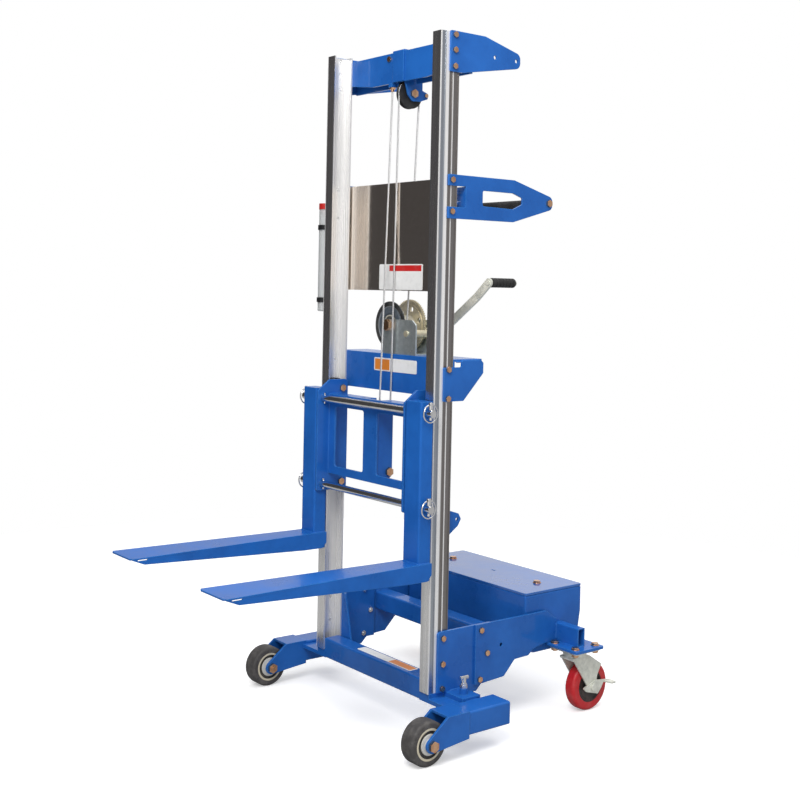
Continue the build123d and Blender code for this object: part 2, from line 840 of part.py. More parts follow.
def crank_arm():
    """Flat arm bent to the rear, with the riveted pin that the grip turns on."""
    x, z = crank_tip()
    turn = CRANK_ANGLE * pi / 180
    half = CRANK_BAR / 2
    hub = half + 3
    side = (-sin(turn) * half, cos(turn) * half)
    bar = outline(
        [
            (pinion_x + side[0], pinion_z + side[1]),
            (x + side[0], z + side[1]),
            (x - side[0], z - side[1]),
            (pinion_x - side[0], pinion_z - side[1]),
        ]
    )
    bar += disc(pinion_x, pinion_z, hub)
    bar += disc(x, z, half)
    bar -= disc(pinion_x, pinion_z, DRUM_SHAFT + RUNNING)
    front, back = crank_end()
    first, last = CRANK_BENDS
    edge = [
        (-2 * hub, 0),
        (first, 0),
        (last, CRANK_OFFSET),
        (CRANK_LENGTH + hub, CRANK_OFFSET),
    ]
    strip = outline(edge + [(u, v + CRANK_SHEET) for u, v in reversed(edge)])
    lengthwise = Plane(
        origin=(pinion_x, crank_face(), pinion_z),
        x_dir=(cos(turn), 0, sin(turn)),
        z_dir=(-sin(turn), 0, cos(turn)),
    )
    bent = extrude(lengthwise * strip, amount=hub, both=True)
    piece = bent & along_y(bar, crank_face() - 1, back + 1)
    grip_end = back + CRANK_COLLAR + CRANK_GRIP_LENGTH
    piece += along_y(disc(x, z, CRANK_PIN + 2), front - 2.5, front)
    piece += along_y(disc(x, z, CRANK_PIN), back, grip_end + SIDE_PLAY)
    piece += along_y(disc(x, z, CRANK_PIN + 2), back, back + CRANK_COLLAR - SIDE_PLAY)
    piece += along_y(disc(x, z, CRANK_PIN + 3), grip_end + SIDE_PLAY, grip_end + 3)
    return piece


def crank_grip():
    """Grip with ring grooves, free on its pin."""
    x, z = crank_tip()
    start = crank_end()[1] + CRANK_COLLAR
    end = start + CRANK_GRIP_LENGTH
    body = along_y(disc(x, z, CRANK_GRIP_RADIUS), start, end)
    body = fillet(body.edges().filter_by(GeomType.CIRCLE).sort_by(Axis.Y)[-1], 5.0)
    rings = 6
    for step in range(rings):
        y = start + CRANK_GRIP_LENGTH * (step + 1) / (rings + 1)
        ring = disc(x, z, CRANK_GRIP_RADIUS + 1) - disc(x, z, CRANK_GRIP_RADIUS - 1)
        body -= along_y(ring, y - 2, y + 2)
    return body - along_y(disc(x, z, CRANK_PIN + 0.1), start - 1, end + 1)


def pawl_pivot():
    return pinion_x + PAWL_SIDE, pinion_z - PAWL_DROP


def ratchet_pawl():
    """Pawl on its pin, with the nose just clear of the pinion's teeth."""
    px, pz = pawl_pivot()
    away = atan2(pz - pinion_z, px - pinion_x) + 0.35
    reach = TOOTH_MODULE * (PINION_TEETH / 2 + ADDENDUM) + PAWL_GAP
    nose = (pinion_x + reach * cos(away), pinion_z + reach * sin(away))
    heading = atan2(nose[1] - pz, nose[0] - px)
    side = (-sin(heading) * 7.5, cos(heading) * 7.5)
    body = outline([nose, (px + side[0], pz + side[1]), (px - side[0], pz - side[1])])
    body += disc(px, pz, 8.0)
    body -= disc(px, pz, SMALL_BOLT + RUNNING)
    front, back = gear_place()
    middle = (front + back) / 2
    return along_y(body, middle - PAWL_SHEET / 2, middle + PAWL_SHEET / 2)


def tube_place():
    return -(outer + TUBE_STANDOFF + TUBE_RADIUS), TUBE_BEHIND


def document_tube():
    x, y = tube_place()
    piece = along_z(disc(x, y, TUBE_RADIUS), TUBE_LOW, TUBE_HIGH)
    foot = piece.edges().filter_by(GeomType.CIRCLE).sort_by(Axis.Z)[0]
    piece = fillet(foot, 2 * TUBE_WALL)
    return piece - along_z(disc(x, y, TUBE_RADIUS - TUBE_WALL), TUBE_LOW + TUBE_WALL, TUBE_HIGH + 1)


def document_cap():
    x, y = tube_place()
    lid = along_z(disc(x, y, TUBE_RADIUS + 1), TUBE_HIGH, TUBE_HIGH + CAP_RISE)
    plug = disc(x, y, TUBE_RADIUS - TUBE_WALL - SIDE_PLAY)
    return lid + along_z(plug, TUBE_HIGH - CAP_PLUG, TUBE_HIGH)


def document_clips():
    """Two straps round the tube, each on a foot against the left column."""
    x, y = tube_place()
    inside = TUBE_RADIUS + SIDE_PLAY
    pieces = []
    for z in CLIP_HEIGHTS:
        low = z - CLIP_HEIGHT / 2
        high = z + CLIP_HEIGHT / 2
        strap = disc(x, y, inside + CLIP_WALL)
        strap += make_face(
            Polyline((x, y - 7), (-outer, y - 7), (-outer, y + 7), (x, y + 7), close=True)
        )
        strap -= disc(x, y, inside)
        pieces.append(along_z(strap, low, high))
    return group(pieces)


def mast_lug():
    """Holed lug behind the right column."""
    z = LUG_HEIGHT
    face = outline(
        [
            (rear, z - 42),
            (rear, z + 51),
            (rear + 7, z + 24),
            (rear + LUG_REACH + 4, z + 14),
            (rear + LUG_REACH + 12, z),
            (rear + LUG_REACH + 3, z - 16),
        ],
        radius=[0, 0, 4, 4, 4, 4],
    )
    face -= disc(rear + LUG_REACH, z, LUG_HOLE)
    middle = outer - COLUMN_WIDTH / 2
    return along_x(face, middle - LUG_SHEET / 2, middle + LUG_SHEET / 2)


def carriage_frame():
    """Side plates, windowed front plate and the cheeks of the carriage sheave."""
    low = CARRIAGE_LOW
    high = CARRIAGE_HIGH
    side = outline(
        [
            (-CARRIAGE_FRONT, low),
            (-CARRIAGE_FRONT, high - 29),
            (-11.5, high),
            (CARRIAGE_REAR - 8, high),
            (CARRIAGE_REAR, high - 8),
            (CARRIAGE_REAR, low),
        ],
        radius=[6, 4, 4, 3, 3, 10],
    )
    for z in BAR_HEIGHTS:
        side -= disc(bar_y, z, BAR_RADIUS + PIN_PLAY)
    for z in ROLLER_HEIGHTS:
        side -= disc(rear / 2, z, ROLLER_AXLE + PIN_PLAY)
    plate = along_x(side, CARRIAGE_SIDE, CARRIAGE_SIDE + CARRIAGE_SHEET)
    face = outline(
        [
            (-CARRIAGE_SIDE, FRONT_LOW),
            (CARRIAGE_SIDE, FRONT_LOW),
            (CARRIAGE_SIDE, FRONT_HIGH),
            (-CARRIAGE_SIDE, FRONT_HIGH),
        ]
    )
    for sign in (-1, 1):
        face -= outline(
            [
                (sign * WINDOW_INNER, WINDOW_LOW),
                (sign * WINDOW_OUTER, WINDOW_LOW),
                (sign * WINDOW_OUTER, WINDOW_HIGH),
                (sign * WINDOW_INNER, WINDOW_HIGH),
            ],
            radius=7,
        )
    back = FRONT_SHEET - FRONT_FACE
    flange = outline(
        [
            (-CARRIAGE_SIDE, -FRONT_FACE),
            (CARRIAGE_SIDE, -FRONT_FACE),
            (CARRIAGE_SIDE, TOP_FLANGE - FRONT_FACE),
            (WINDOW_INNER + 2, TOP_FLANGE - FRONT_FACE),
            (WINDOW_INNER + 2, back + 5),
            (-WINDOW_INNER - 2, back + 5),
            (-WINDOW_INNER - 2, TOP_FLANGE - FRONT_FACE),
            (-CARRIAGE_SIDE, TOP_FLANGE - FRONT_FACE),
        ]
    )
    for x in (-52, 52):
        flange -= Pos(x, 4) * SlotOverall(26, 7)
    y, z = low_axle
    cheek = outline(
        [
            (back, FRONT_LOW + 4),
            (back, FRONT_HIGH - FRONT_SHEET),
            (CHEEK_REAR, FRONT_HIGH - FRONT_SHEET),
            (CHEEK_REAR, z - 10),
            (y - 4, FRONT_LOW + 4),
        ],
        radius=[0, 0, 8, 8, 8],
    )
    cheek -= disc(y, z, AXLE_BOLT + PIN_PLAY)
    wing = along_x(cheek, CHEEK_HALF_GAP, CHEEK_HALF_GAP + CHEEK_SHEET)
    piece = along_y(face, -FRONT_FACE, back)
    piece += along_z(flange, FRONT_HIGH - FRONT_SHEET, FRONT_HIGH)
    piece += plate
    piece += mirrored(plate)
    piece += wing
    return piece + mirrored(wing)


def roller_limits():
    """X limits of a right-hand roller inside its column."""
    start = inner + 2
    return start, start + ROLLER_WIDTH


def rollers(z):
    """The left and right guide roller of one height."""
    start, end = roller_limits()
    radius = COLUMN_DEPTH / 2 - COLUMN_WALL - SIDE_PLAY
    face = disc(rear / 2, z, radius) - disc(rear / 2, z, ROLLER_AXLE + RUNNING)
    wheel = along_x(face, start, end)
    rim = [edge for edge in wheel.edges().filter_by(GeomType.CIRCLE) if edge.radius > radius - 1]
    wheel = fillet(rim, 2.0)
    return group([wheel, mirrored(wheel)])


def carriage_bolts():
    """Roller bolts, the sheave bolt, the linchpins' shanks and the bars' roll pins."""
    start, end = roller_limits()
    outside = CARRIAGE_SIDE + CARRIAGE_SHEET
    pieces = []
    for z in ROLLER_HEIGHTS:
        at = (CARRIAGE_SIDE, rear / 2, z)
        pin = bolt(at, (-1, 0, 0), end - CARRIAGE_SIDE, ROLLER_AXLE)
        pin += along_x(disc(rear / 2, z, ROLLER_AXLE + 4), outside, start - SIDE_PLAY)
        pieces += [pin, mirrored(pin)]
    cheek_out = CHEEK_HALF_GAP + CHEEK_SHEET
    at = (cheek_out, *low_axle)
    pieces.append(bolt(at, (1, 0, 0), 2 * cheek_out, AXLE_BOLT, nut=True))
    for z in BAR_HEIGHTS:
        roll_pin = disc(roll_pin_side(), bar_y, ROLL_PIN)
        roll_pin = along_z(roll_pin, z - ROLL_PIN_REACH, z + ROLL_PIN_REACH)
        for pin in (linchpin(z), roll_pin):
            pieces += [pin, mirrored(pin)]
    return group(pieces)


def pin_side():
    return BAR_HALF_LENGTH - LINCHPIN_INSET


def roll_pin_side():
    return CARRIAGE_SIDE - ROLL_PIN_INSET


def linchpin(z):
    """Right-hand pin down through a bar's end, with the eye for its ring."""
    x = pin_side()
    shank = along_z(disc(x, bar_y, LINCHPIN_RADIUS), z - RING_RADIUS + 5.5, z + 17)
    seat = z + BAR_RADIUS + PIN_PLAY
    crown = z + HINGE_RISE + LINCHPIN_CROWN
    head = along_z(disc(x, bar_y, LINCHPIN_HEAD), seat, crown)
    eye = along_y(disc(x, z + HINGE_RISE, RING_WIRE + 1.7), bar_y - 12, bar_y + 12)
    return shank + head - eye


def linchpin_ring(z):
    """Right-hand ring through the eye of its pin."""
    loop = Pos(pin_side(), bar_y, z + HINGE_RISE - RING_RADIUS) * Rot(0, 90, 0)
    return loop * Torus(RING_RADIUS, RING_WIRE)


def fork_bars():
    pieces = []
    for z in BAR_HEIGHTS:
        bar = along_x(disc(bar_y, z, BAR_RADIUS), -BAR_HALF_LENGTH, BAR_HALF_LENGTH)
        for x, radius in ((pin_side(), LINCHPIN_RADIUS), (roll_pin_side(), ROLL_PIN)):
            hole = along_z(disc(x, bar_y, radius + PIN_PLAY), z - 15, z + 15)
            bar -= hole
            bar -= mirrored(hole)
        pieces.append(bar)
    return group(pieces)


def fork():
    """Right fork: hollow upright and a formed blade that widens to the tip."""
    back = -FORK_REAR
    front = back - UPRIGHT_DEPTH
    x0 = upright_in
    x1 = upright_in + UPRIGHT_WIDTH
    heel = BLADE_TOP - HEEL_DEPTH
    inside = FORK_WALL
    upright = block((x0, x1), (front, back), (heel, UPRIGHT_TOP))
    upright = fillet(upright.edges().filter_by(Axis.Z), TUBE_ROUND)
    upright -= block(
        (x0 + inside, x1 - inside),
        (front + inside, back - inside),
        (heel - 1, UPRIGHT_TOP - inside),
    )
    for z in BAR_HEIGHTS:
        upright -= along_x(disc(bar_y, z, BAR_RADIUS + PIN_PLAY), x0 - 1, x1 + 1)
    tip = -FORK_REACH
    half_heel = UPRIGHT_WIDTH / 2 + FORK_WALL
    half_tip = TIP_WIDTH / 2
    bend = front - 30
    right = [(half_heel, back), (half_heel, bend), (half_tip, tip + 8), (half_tip - 8, tip)]
    left = [(-x, y) for x, y in reversed(right)]
    plan = outline([(upright_mid + x, y) for x, y in right + left])
    deck = along_z(plan, BLADE_TOP - BLADE_SHEET, BLADE_TOP)
    thick = [
        (half_heel, back),
        (half_heel, bend),
        (half_tip, tip),
        (half_tip - FORK_WALL, tip),
        (half_heel - FORK_WALL, bend),
        (half_heel - FORK_WALL, back),
    ]
    strip = along_z(outline([(upright_mid + x, y) for x, y in thick]), heel, BLADE_TOP)
    profile = outline(
        [
            (back, BLADE_TOP),
            (back, heel + 14),
            (back - 12, heel),
            (bend, heel),
            (tip + TIP_SLOPE, BLADE_TOP - TIP_DEPTH),
            (tip + 4, BLADE_TOP - BLADE_SHEET),
            (tip + 4, BLADE_TOP),
        ]
    )
    flange = strip & along_x(profile, 0, 2 * upright_mid)
    under = BLADE_TOP - BLADE_SHEET
    slit_y = (tip + SLIT_START, tip + SLIT_START + SLIT_LENGTH)
    flange -= block((upright_mid, upright_mid + TIP_WIDTH), slit_y, (under - SLIT_HEIGHT, under))
    other = mirror(flange, about=Plane.YZ.offset(upright_mid))
    return upright + deck + flange + other


def front_crossmember():
    """Front tube of the base, with low ends under the columns and a plate and socket to each leg."""
    back = BASE_FRONT + BASE_DEPTH
    seat = COLUMN_FOOT
    half = inner - 0.5
    piece = block((-half, half), (BASE_FRONT, back), (BASE_BOTTOM, BASE_TOP))
    piece = fillet(piece.edges().filter_by(Axis.X), TUBE_ROUND)
    hollow_y = (BASE_FRONT + BASE_WALL, back - BASE_WALL)
    piece -= block((-half - 1, half + 1), hollow_y, (BASE_BOTTOM + BASE_WALL, BASE_TOP - BASE_WALL))
    end = block((half - BASE_WALL, outer), (BASE_FRONT, back), (BASE_BOTTOM, seat))
    end -= block((half - BASE_WALL - 1, outer - BASE_WALL), hollow_y, (BASE_BOTTOM - 1, seat - END_SHEET))
    socket_x = outer - 2 * BASE_WALL
    socket_y = back - BASE_WALL
    socket = block((socket_x, LEG_SIDE), (socket_y, END_REACH), (BASE_BOTTOM, seat))
    socket -= block(
        (socket_x + BASE_WALL, LEG_SIDE + 1),
        (socket_y + BASE_WALL, END_REACH - BASE_WALL),
        (BASE_BOTTOM - 1, seat - END_SHEET),
    )
    low_plate = (BASE_BOTTOM, BASE_BOTTOM + END_PLATE)
    end += block((outer - BASE_WALL, LEG_SIDE), (BASE_FRONT, back), low_plate)
    boss = disc(PLUNGER_SIDE, PLUNGER_BEHIND, PLUNGER_BOSS)
    end += socket + along_z(boss, seat, seat + PLUNGER_BOSS_HEIGHT)
    hole = disc(PLUNGER_SIDE, PLUNGER_BEHIND, PLUNGER_PIN + PIN_PLAY)
    end -= along_z(hole, 0, seat + PLUNGER_BOSS_HEIGHT + 1)
    return piece + end + mirrored(end)


def cheek_outline():
    """Side view of the leg's front cheek, rounded about the axle."""
    axle = (-AXLE_FRONT, FRONT_WHEEL_RADIUS)
    top = (-CHEEK_TOP_FRONT, LEG_TOP + CHEEK_STEP)
    low = (CHEEK_REAR_END, LEG_BOTTOM - 3 * CHEEK_STEP)
    upper = tangent(top, 0, 1, axle, NOSE_RADIUS, 1)[1]
    lower = tangent(axle, NOSE_RADIUS, 1, low, 0, 1)[0]
    face = outline([low, (CHEEK_REAR_END, LEG_TOP + CHEEK_STEP), top, upper, axle, lower])
    face += disc(*axle, NOSE_RADIUS)
    return face - disc(*axle, FRONT_AXLE + PIN_PLAY)


def leg():
    """Right leg: closed box, front cheeks for the wheel and the tongue under the shelf."""
    x0 = LEG_SIDE
    x1 = LEG_SIDE + LEG_WIDTH
    wall = LEG_WALL
    piece = block((x0, x1), (LEG_FRONT, LEG_REAR), (LEG_BOTTOM, LEG_TOP))
    piece = fillet(piece.edges().filter_by(Axis.Y), TUBE_ROUND)
    piece -= block(
        (x0 + wall, x1 - wall),
        (LEG_FRONT - 1, LEG_REAR - wall),
        (LEG_BOTTOM + wall, LEG_TOP - wall),
    )
    cheek = cheek_outline()
    piece += along_x(cheek, x0, x0 + CHEEK_PLATE)
    out = x1 + CHEEK_STEP
    piece += along_x(cheek, out - CHEEK_PLATE, out)
    roof_z = (LEG_TOP + CHEEK_STEP - CHEEK_PLATE, LEG_TOP + CHEEK_STEP)
    piece += block((x0, out), (-CHEEK_TOP_FRONT, CHEEK_REAR_END), roof_z)
    floor_z = (LEG_BOTTOM - CHEEK_STEP, LEG_BOTTOM + CHEEK_STEP)
    piece += block((x0, out), (LEG_FRONT - 6, CHEEK_REAR_END), floor_z)
    under = COLUMN_FOOT - END_SHEET
    tongue = block(
        (PLUNGER_SIDE - 16, x0 + wall),
        (PLUNGER_BEHIND - 16, PLUNGER_BEHIND + 20),
        (under - TONGUE_SHEET, under),
    )
    hole = disc(PLUNGER_SIDE, PLUNGER_BEHIND, PLUNGER_PIN + PIN_PLAY)
    tongue -= along_z(hole, under - TONGUE_SHEET - 1, under + 1)
    return piece + tongue


def front_tyre():
    """Right tyre with rounded shoulders."""
    half = FRONT_TYRE_WIDTH / 2
    profile = outline(
        [
            (-half, FRONT_HUB_RADIUS + RUNNING),
            (half, FRONT_HUB_RADIUS + RUNNING),
            (half, FRONT_WHEEL_RADIUS),
            (-half, FRONT_WHEEL_RADIUS),
        ],
        radius=[0, 0, 7, 7],
    )
    return Pos(wheel_x, -AXLE_FRONT, FRONT_WHEEL_RADIUS) * revolve(profile, axis=Axis.X)


def front_hub():
    """Right hub with the ring and groove on its face, free on the axle."""
    half = FRONT_TYRE_WIDTH / 2
    reach = (LEG_WIDTH + CHEEK_STEP) / 2 - CHEEK_PLATE - SIDE_PLAY
    side = [
        (reach, FRONT_AXLE + RUNNING),
        (reach, HUB_BOSS - 3),
        (half + 2, HUB_BOSS),
        (half + 1, HUB_GROOVE_IN - 1),
        (half - 3, HUB_GROOVE_IN),
        (half - 3, HUB_GROOVE_OUT),
        (half, HUB_GROOVE_OUT + 1),
        (half, FRONT_HUB_RADIUS),
    ]
    profile = side + [(-x, r) for x, r in reversed(side)]
    return Pos(wheel_x, -AXLE_FRONT, FRONT_WHEEL_RADIUS) * revolve(outline(profile), axis=Axis.X)


def plunger_barrel():
    x = PLUNGER_SIDE
    y = PLUNGER_BEHIND
    seat = COLUMN_FOOT + PLUNGER_BOSS_HEIGHT
    piece = along_z(Pos(x, y) * RegularPolygon(PLUNGER_BOSS, 6), seat, seat + 8)
    piece += along_z(disc(x, y, PLUNGER_BARREL), seat, seat + PLUNGER_BARREL_HEIGHT)
    hole = disc(x, y, PLUNGER_PIN + RUNNING)
    return piece - along_z(hole, seat - 1, seat + PLUNGER_BARREL_HEIGHT + 1)


def plunger():
    """Right plunger pin with its cross head."""
    x = PLUNGER_SIDE
    y = PLUNGER_BEHIND
    top = COLUMN_FOOT + PLUNGER_BOSS_HEIGHT + PLUNGER_BARREL_HEIGHT + PLUNGER_HEAD_RISE
    low = COLUMN_FOOT - END_SHEET - TONGUE_SHEET + PLUNGER_TIP
    piece = along_z(disc(x, y, PLUNGER_PIN), low, top)
    half = PLUNGER_HEAD_LENGTH / 2
    head = along_y(disc(x, top, PLUNGER_HEAD_RADIUS), y - half, y + half)
    return piece + head


def mast_bracket():
    """Right plate from the column to the rear, with a flange behind the column."""
    low = COLUMN_FOOT
    toe_front, toe_rear = BRACKET_TOE
    toe = low - BRACKET_TOE_DROP
    body = outline(
        [
            (BRACKET_FRONT, low),
            (BRACKET_FRONT, BRACKET_TOP),
            (BRACKET_REAR, BRACKET_TOP),
            (BRACKET_REAR, low),
            (toe_rear, low),
            (toe_front, toe),
            (END_REACH + 3, toe),
            (END_REACH + 3, low),
        ],
        radius=[0, 9, 0, 0, 0, 0, 0, 0],
    )
    for y, z in SIDE_BOLTS:
        body -= disc(y, z, SMALL_BOLT + PIN_PLAY)
    plate = plate_holes(along_x(body, outer, bracket_out), bracket_out, LOWER_PLATE, MAST_BOLTS)
    flange = outline(
        [
            (outer, low),
            (outer, BRACKET_TOP - 2),
            (inner - BRACKET_FLANGE_TOP, BRACKET_TOP - 2),
            (inner - BRACKET_FLANGE_FOOT, low + 3),
            (inner - BRACKET_FLANGE_FOOT, low),
        ]
    )
    return plate + along_y(flange, rear, rear + LOWER_PLATE - 1)


def side_plate():
    """Right rear plate with its stepped lower edge and a pad against the counterweight."""
    end = CASTER_BEAM_FRONT
    upper = [
        (SEAM, COLUMN_FOOT),
        (SEAM, SIDE_TOP),
        (end - 37, SIDE_TOP),
        (end - 6, SIDE_TOP - 22),
        (end, SIDE_TOP - 24),
    ]
    lower = [(end - ahead, height) for ahead, height in SIDE_EDGE]
    body = outline(upper + lower, radius=[0, 0, 6, 0, 0, 0, 8, 6, 6, 6, 6, 0])
    for y, z in SIDE_BOLTS:
        body -= disc(y, z, SMALL_BOLT + PIN_PLAY)
    body -= disc(*SIDE_HOLE, SIDE_HOLE_RADIUS)
    plate = along_x(body, bracket_out, side_out)
    pad = block((WEIGHT_HALF_WIDTH, bracket_out), (WEIGHT_FRONT + 15, end - 20), SIDE_PAD)
    return plate + pad


def rear_cross_tube():
    y0 = CROSS_TUBE_FRONT
    y1 = y0 + CROSS_TUBE_SIZE
    z0 = CROSS_TUBE_BOTTOM
    z1 = z0 + CROSS_TUBE_SIZE
    wall = CROSS_TUBE_WALL
    piece = block((-bracket_out, bracket_out), (y0, y1), (z0, z1))
    piece = fillet(piece.edges().filter_by(Axis.X), TUBE_ROUND)
    hollow = block(
        (-bracket_out - 1, bracket_out + 1), (y0 + wall, y1 - wall), (z0 + wall, z1 - wall)
    )
    return piece - hollow


def beam_limits():
    """Y and Z limits of the caster beam."""
    y = (CASTER_BEAM_FRONT, CASTER_BEAM_FRONT + CASTER_BEAM_DEPTH)
    return y, (CASTER_PLATE_TOP, CASTER_PLATE_TOP + CASTER_BEAM_HEIGHT)


def counterweight():
    """Cast block with a rounded belly, slotted underneath to sit on the caster beam."""
    y0 = WEIGHT_FRONT
    y1 = WEIGHT_FRONT + WEIGHT_LENGTH
    top = WEIGHT_TOP - COVER_SHEET
    body = outline(
        [
            (y0, WEIGHT_BOTTOM),
            (y0, top),
            (y1, top),
            (y1, WEIGHT_BOTTOM + 87),
            (y1 - 14, WEIGHT_BOTTOM),
        ],
        radius=[WEIGHT_ROUND, 4, 4, 12, 12],
    )
    beam_y, beam_z = beam_limits()
    slot = block(
        (-WEIGHT_HALF_WIDTH - 1, WEIGHT_HALF_WIDTH + 1),
        (beam_y[0] - PIN_PLAY, beam_y[1] + PIN_PLAY),
        (WEIGHT_BOTTOM - 1, beam_z[1]),
    )
    piece = along_x(body, -WEIGHT_HALF_WIDTH, WEIGHT_HALF_WIDTH)
    piece = fillet(piece.edges().filter_by(Axis.Z), TUBE_ROUND) - slot
    for side in (-1, 1):
        at = (side * COVER_SCREW_SIDE, COVER_SCREW_BEHIND, top)
        piece -= bore(at, (0, 0, 1), 26, MID_BOLT + PIN_PLAY)
    return piece


def weight_cover():
    y0 = WEIGHT_FRONT
    y1 = WEIGHT_FRONT + WEIGHT_LENGTH
    half = WEIGHT_HALF_WIDTH
    sheet = outline([(-half, y0), (half, y0), (half, y1), (-half, y1)], radius=TUBE_ROUND)
    sheet -= Pos(0, COVER_SCREW_BEHIND) * SlotOverall(COVER_SLOT, COVER_SLOT / 3)
    for side in (-1, 1):
        sheet -= disc(side * COVER_SCREW_SIDE, COVER_SCREW_BEHIND, MID_BOLT + PIN_PLAY)
    return along_z(sheet, WEIGHT_TOP - COVER_SHEET, WEIGHT_TOP)


def caster_bolt_places():
    """(x, y) of the four bolts of the right caster."""
    x = CASTER_BOLT_X / 2
    y = CASTER_BOLT_Y / 2
    return [(CASTER_SIDE + i * x, CASTER_BEHIND + j * y) for i in (-1, 1) for j in (-1, 1)]


def caster_beam():
    """Tube through the counterweight's slot, with a plate under each end."""
    y, z = beam_limits()
    wall = CASTER_BEAM_WALL
    piece = block((-CASTER_BEAM_HALF, CASTER_BEAM_HALF), y, z)
    piece = fillet(piece.edges().filter_by(Axis.X), SMALL_ROUND)
    piece -= block(
        (-CASTER_BEAM_HALF - 1, CASTER_BEAM_HALF + 1),
        (y[0] + wall, y[1] - wall),
        (z[0] + wall, z[1] - wall),
    )
    half_x = CASTER_PLATE_X / 2
    half_y = CASTER_PLATE_Y / 2
    foot = Pos(CASTER_SIDE, CASTER_BEHIND) * RectangleRounded(2 * half_x, 2 * half_y, 6)
    for at in caster_bolt_places():
        foot -= disc(*at, MID_BOLT + PIN_PLAY)
    plate = along_z(foot, CASTER_PLATE_TOP - CASTER_PLATE, CASTER_PLATE_TOP)
    return piece + plate + mirrored(plate)


def caster_race_top():
    return CASTER_PLATE_TOP - CASTER_PLATE - CASTER_TOP_SHEET - SIDE_PLAY


def crown_bottom():
    return caster_race_top() - CASTER_RACE_DEPTH - CASTER_CROWN


def caster_plates():
    """Zinc top plates, each with the king pin that its fork swivels on."""
    top = CASTER_PLATE_TOP - CASTER_PLATE
    width = CASTER_BOLT_X + 22
    length = CASTER_BOLT_Y + 22
    sheet = Pos(CASTER_SIDE, CASTER_BEHIND) * RectangleRounded(width, length, 8)
    for at in caster_bolt_places():
        sheet -= disc(*at, MID_BOLT + PIN_PLAY)
    piece = along_z(sheet, top - CASTER_TOP_SHEET, top)
    low = crown_bottom() - SIDE_PLAY
    piece += along_z(disc(CASTER_SIDE, CASTER_BEHIND, KING_PIN), low - 5, top - 1)
    piece += along_z(disc(CASTER_SIDE, CASTER_BEHIND, KING_PIN + 4), low - 5, low)
    return group([piece, mirrored(piece)])


def caster_fork():
    """Right caster fork: race, crown, two legs and the riveted axle."""
    x = CASTER_SIDE
    y = CASTER_BEHIND
    axle = (caster_wheel_y, CASTER_RADIUS)
    low = crown_bottom()
    crown = low + CASTER_CROWN
    inside = CASTER_WIDTH / 2 + FORK_LEG_GAP
    outside = inside + FORK_LEG
    wing_low = (y + FORK_WING_LOW[0], FORK_WING_LOW[1])
    wing_top = (y + FORK_WING_TOP[0], FORK_WING_TOP[1])
    front = tangent((y - 30, crown), 0, 1, axle, 13, 1)[1]
    behind = tangent(axle, 13, 1, wing_low, 0, 1)[0]
    face = outline([(y - 30, crown), front, axle, behind, wing_low, wing_top, (y + 32, crown)])
    face += disc(*axle, 13)
    piece = along_x(face, x - outside, x - inside) + along_x(face, x + inside, x + outside)
    piece += block((x - outside, x + outside), (y - 30, y + 32), (low, crown))
    piece += along_z(disc(x, y, CASTER_RACE), crown, caster_race_top())
    hole = disc(x, y, KING_PIN + RUNNING)
    piece -= along_z(hole, low - 1, caster_race_top() + 1)
    pin = disc(*axle, AXLE_BOLT)
    end_x = outside + PEDAL_SHEET + 2 * SIDE_PLAY
    piece += along_x(pin, x - outside - 5, x + end_x)
    piece += along_x(disc(*axle, AXLE_BOLT + 4), x + end_x, x + end_x + 4)
    return piece + along_x(disc(*axle, AXLE_BOLT + 4), x - outside - 5, x - outside)


def caster_wheel():
    """Right caster wheel: hub with a moulded tread."""
    half = CASTER_WIDTH / 2
    reach = half + FORK_LEG_GAP - SIDE_PLAY
    hub_half = [
        (reach, AXLE_BOLT + RUNNING),
        (reach, 14.0),
        (half - 3, 16.0),
        (half - 3, CASTER_HUB_RADIUS - 6),
        (half - 1, CASTER_HUB_RADIUS - 4),
        (half - 1, CASTER_HUB_RADIUS),
    ]
    hub = outline(hub_half + [(-a, r) for a, r in reversed(hub_half)])
    tread = outline(
        [
            (-half, CASTER_HUB_RADIUS),
            (half, CASTER_HUB_RADIUS),
            (half, CASTER_RADIUS),
            (-half, CASTER_RADIUS),
        ],
        radius=[0, 0, 8, 8],
    )
    place = Pos(CASTER_SIDE, caster_wheel_y, CASTER_RADIUS)
    return place * (revolve(hub, axis=Axis.X) + revolve(tread, axis=Axis.X))


def brake_pedal():
    """Right brake pedal: arm on the axle outside the fork, with a tab for the foot."""
    y = caster_wheel_y
    z = CASTER_RADIUS
    tip = y + PEDAL_REACH
    under = z + 6
    over = under + PEDAL_SHEET
    face = outline(
        [
            (y - 38, z + 2),
            (y - 27, z - 8),
            (y + 16, z - 20),
            (y + 29, z - 6),
            (tip - 25, under + 1),
            (tip, under),
            (tip, over),
            (y + 6, z + 17),
            (y - 9, z + 11),
        ],
        radius=[3, 3, 3, 3, 3, 1.5, 1.5, 3, 3],
    )
    face -= disc(y, z, AXLE_BOLT + RUNNING)
    start = CASTER_SIDE + CASTER_WIDTH / 2 + FORK_LEG_GAP + FORK_LEG + SIDE_PLAY
    arm = along_x(face, start, start + PEDAL_SHEET)
    tab = outline(
        [
            (start, tip - 24),
            (start + PEDAL_TAB, tip - 18),
            (start + PEDAL_TAB, tip),
            (start, tip),
        ],
        radius=[0, 4, 4, 0],
    )
    return arm + along_z(tab, under, over)


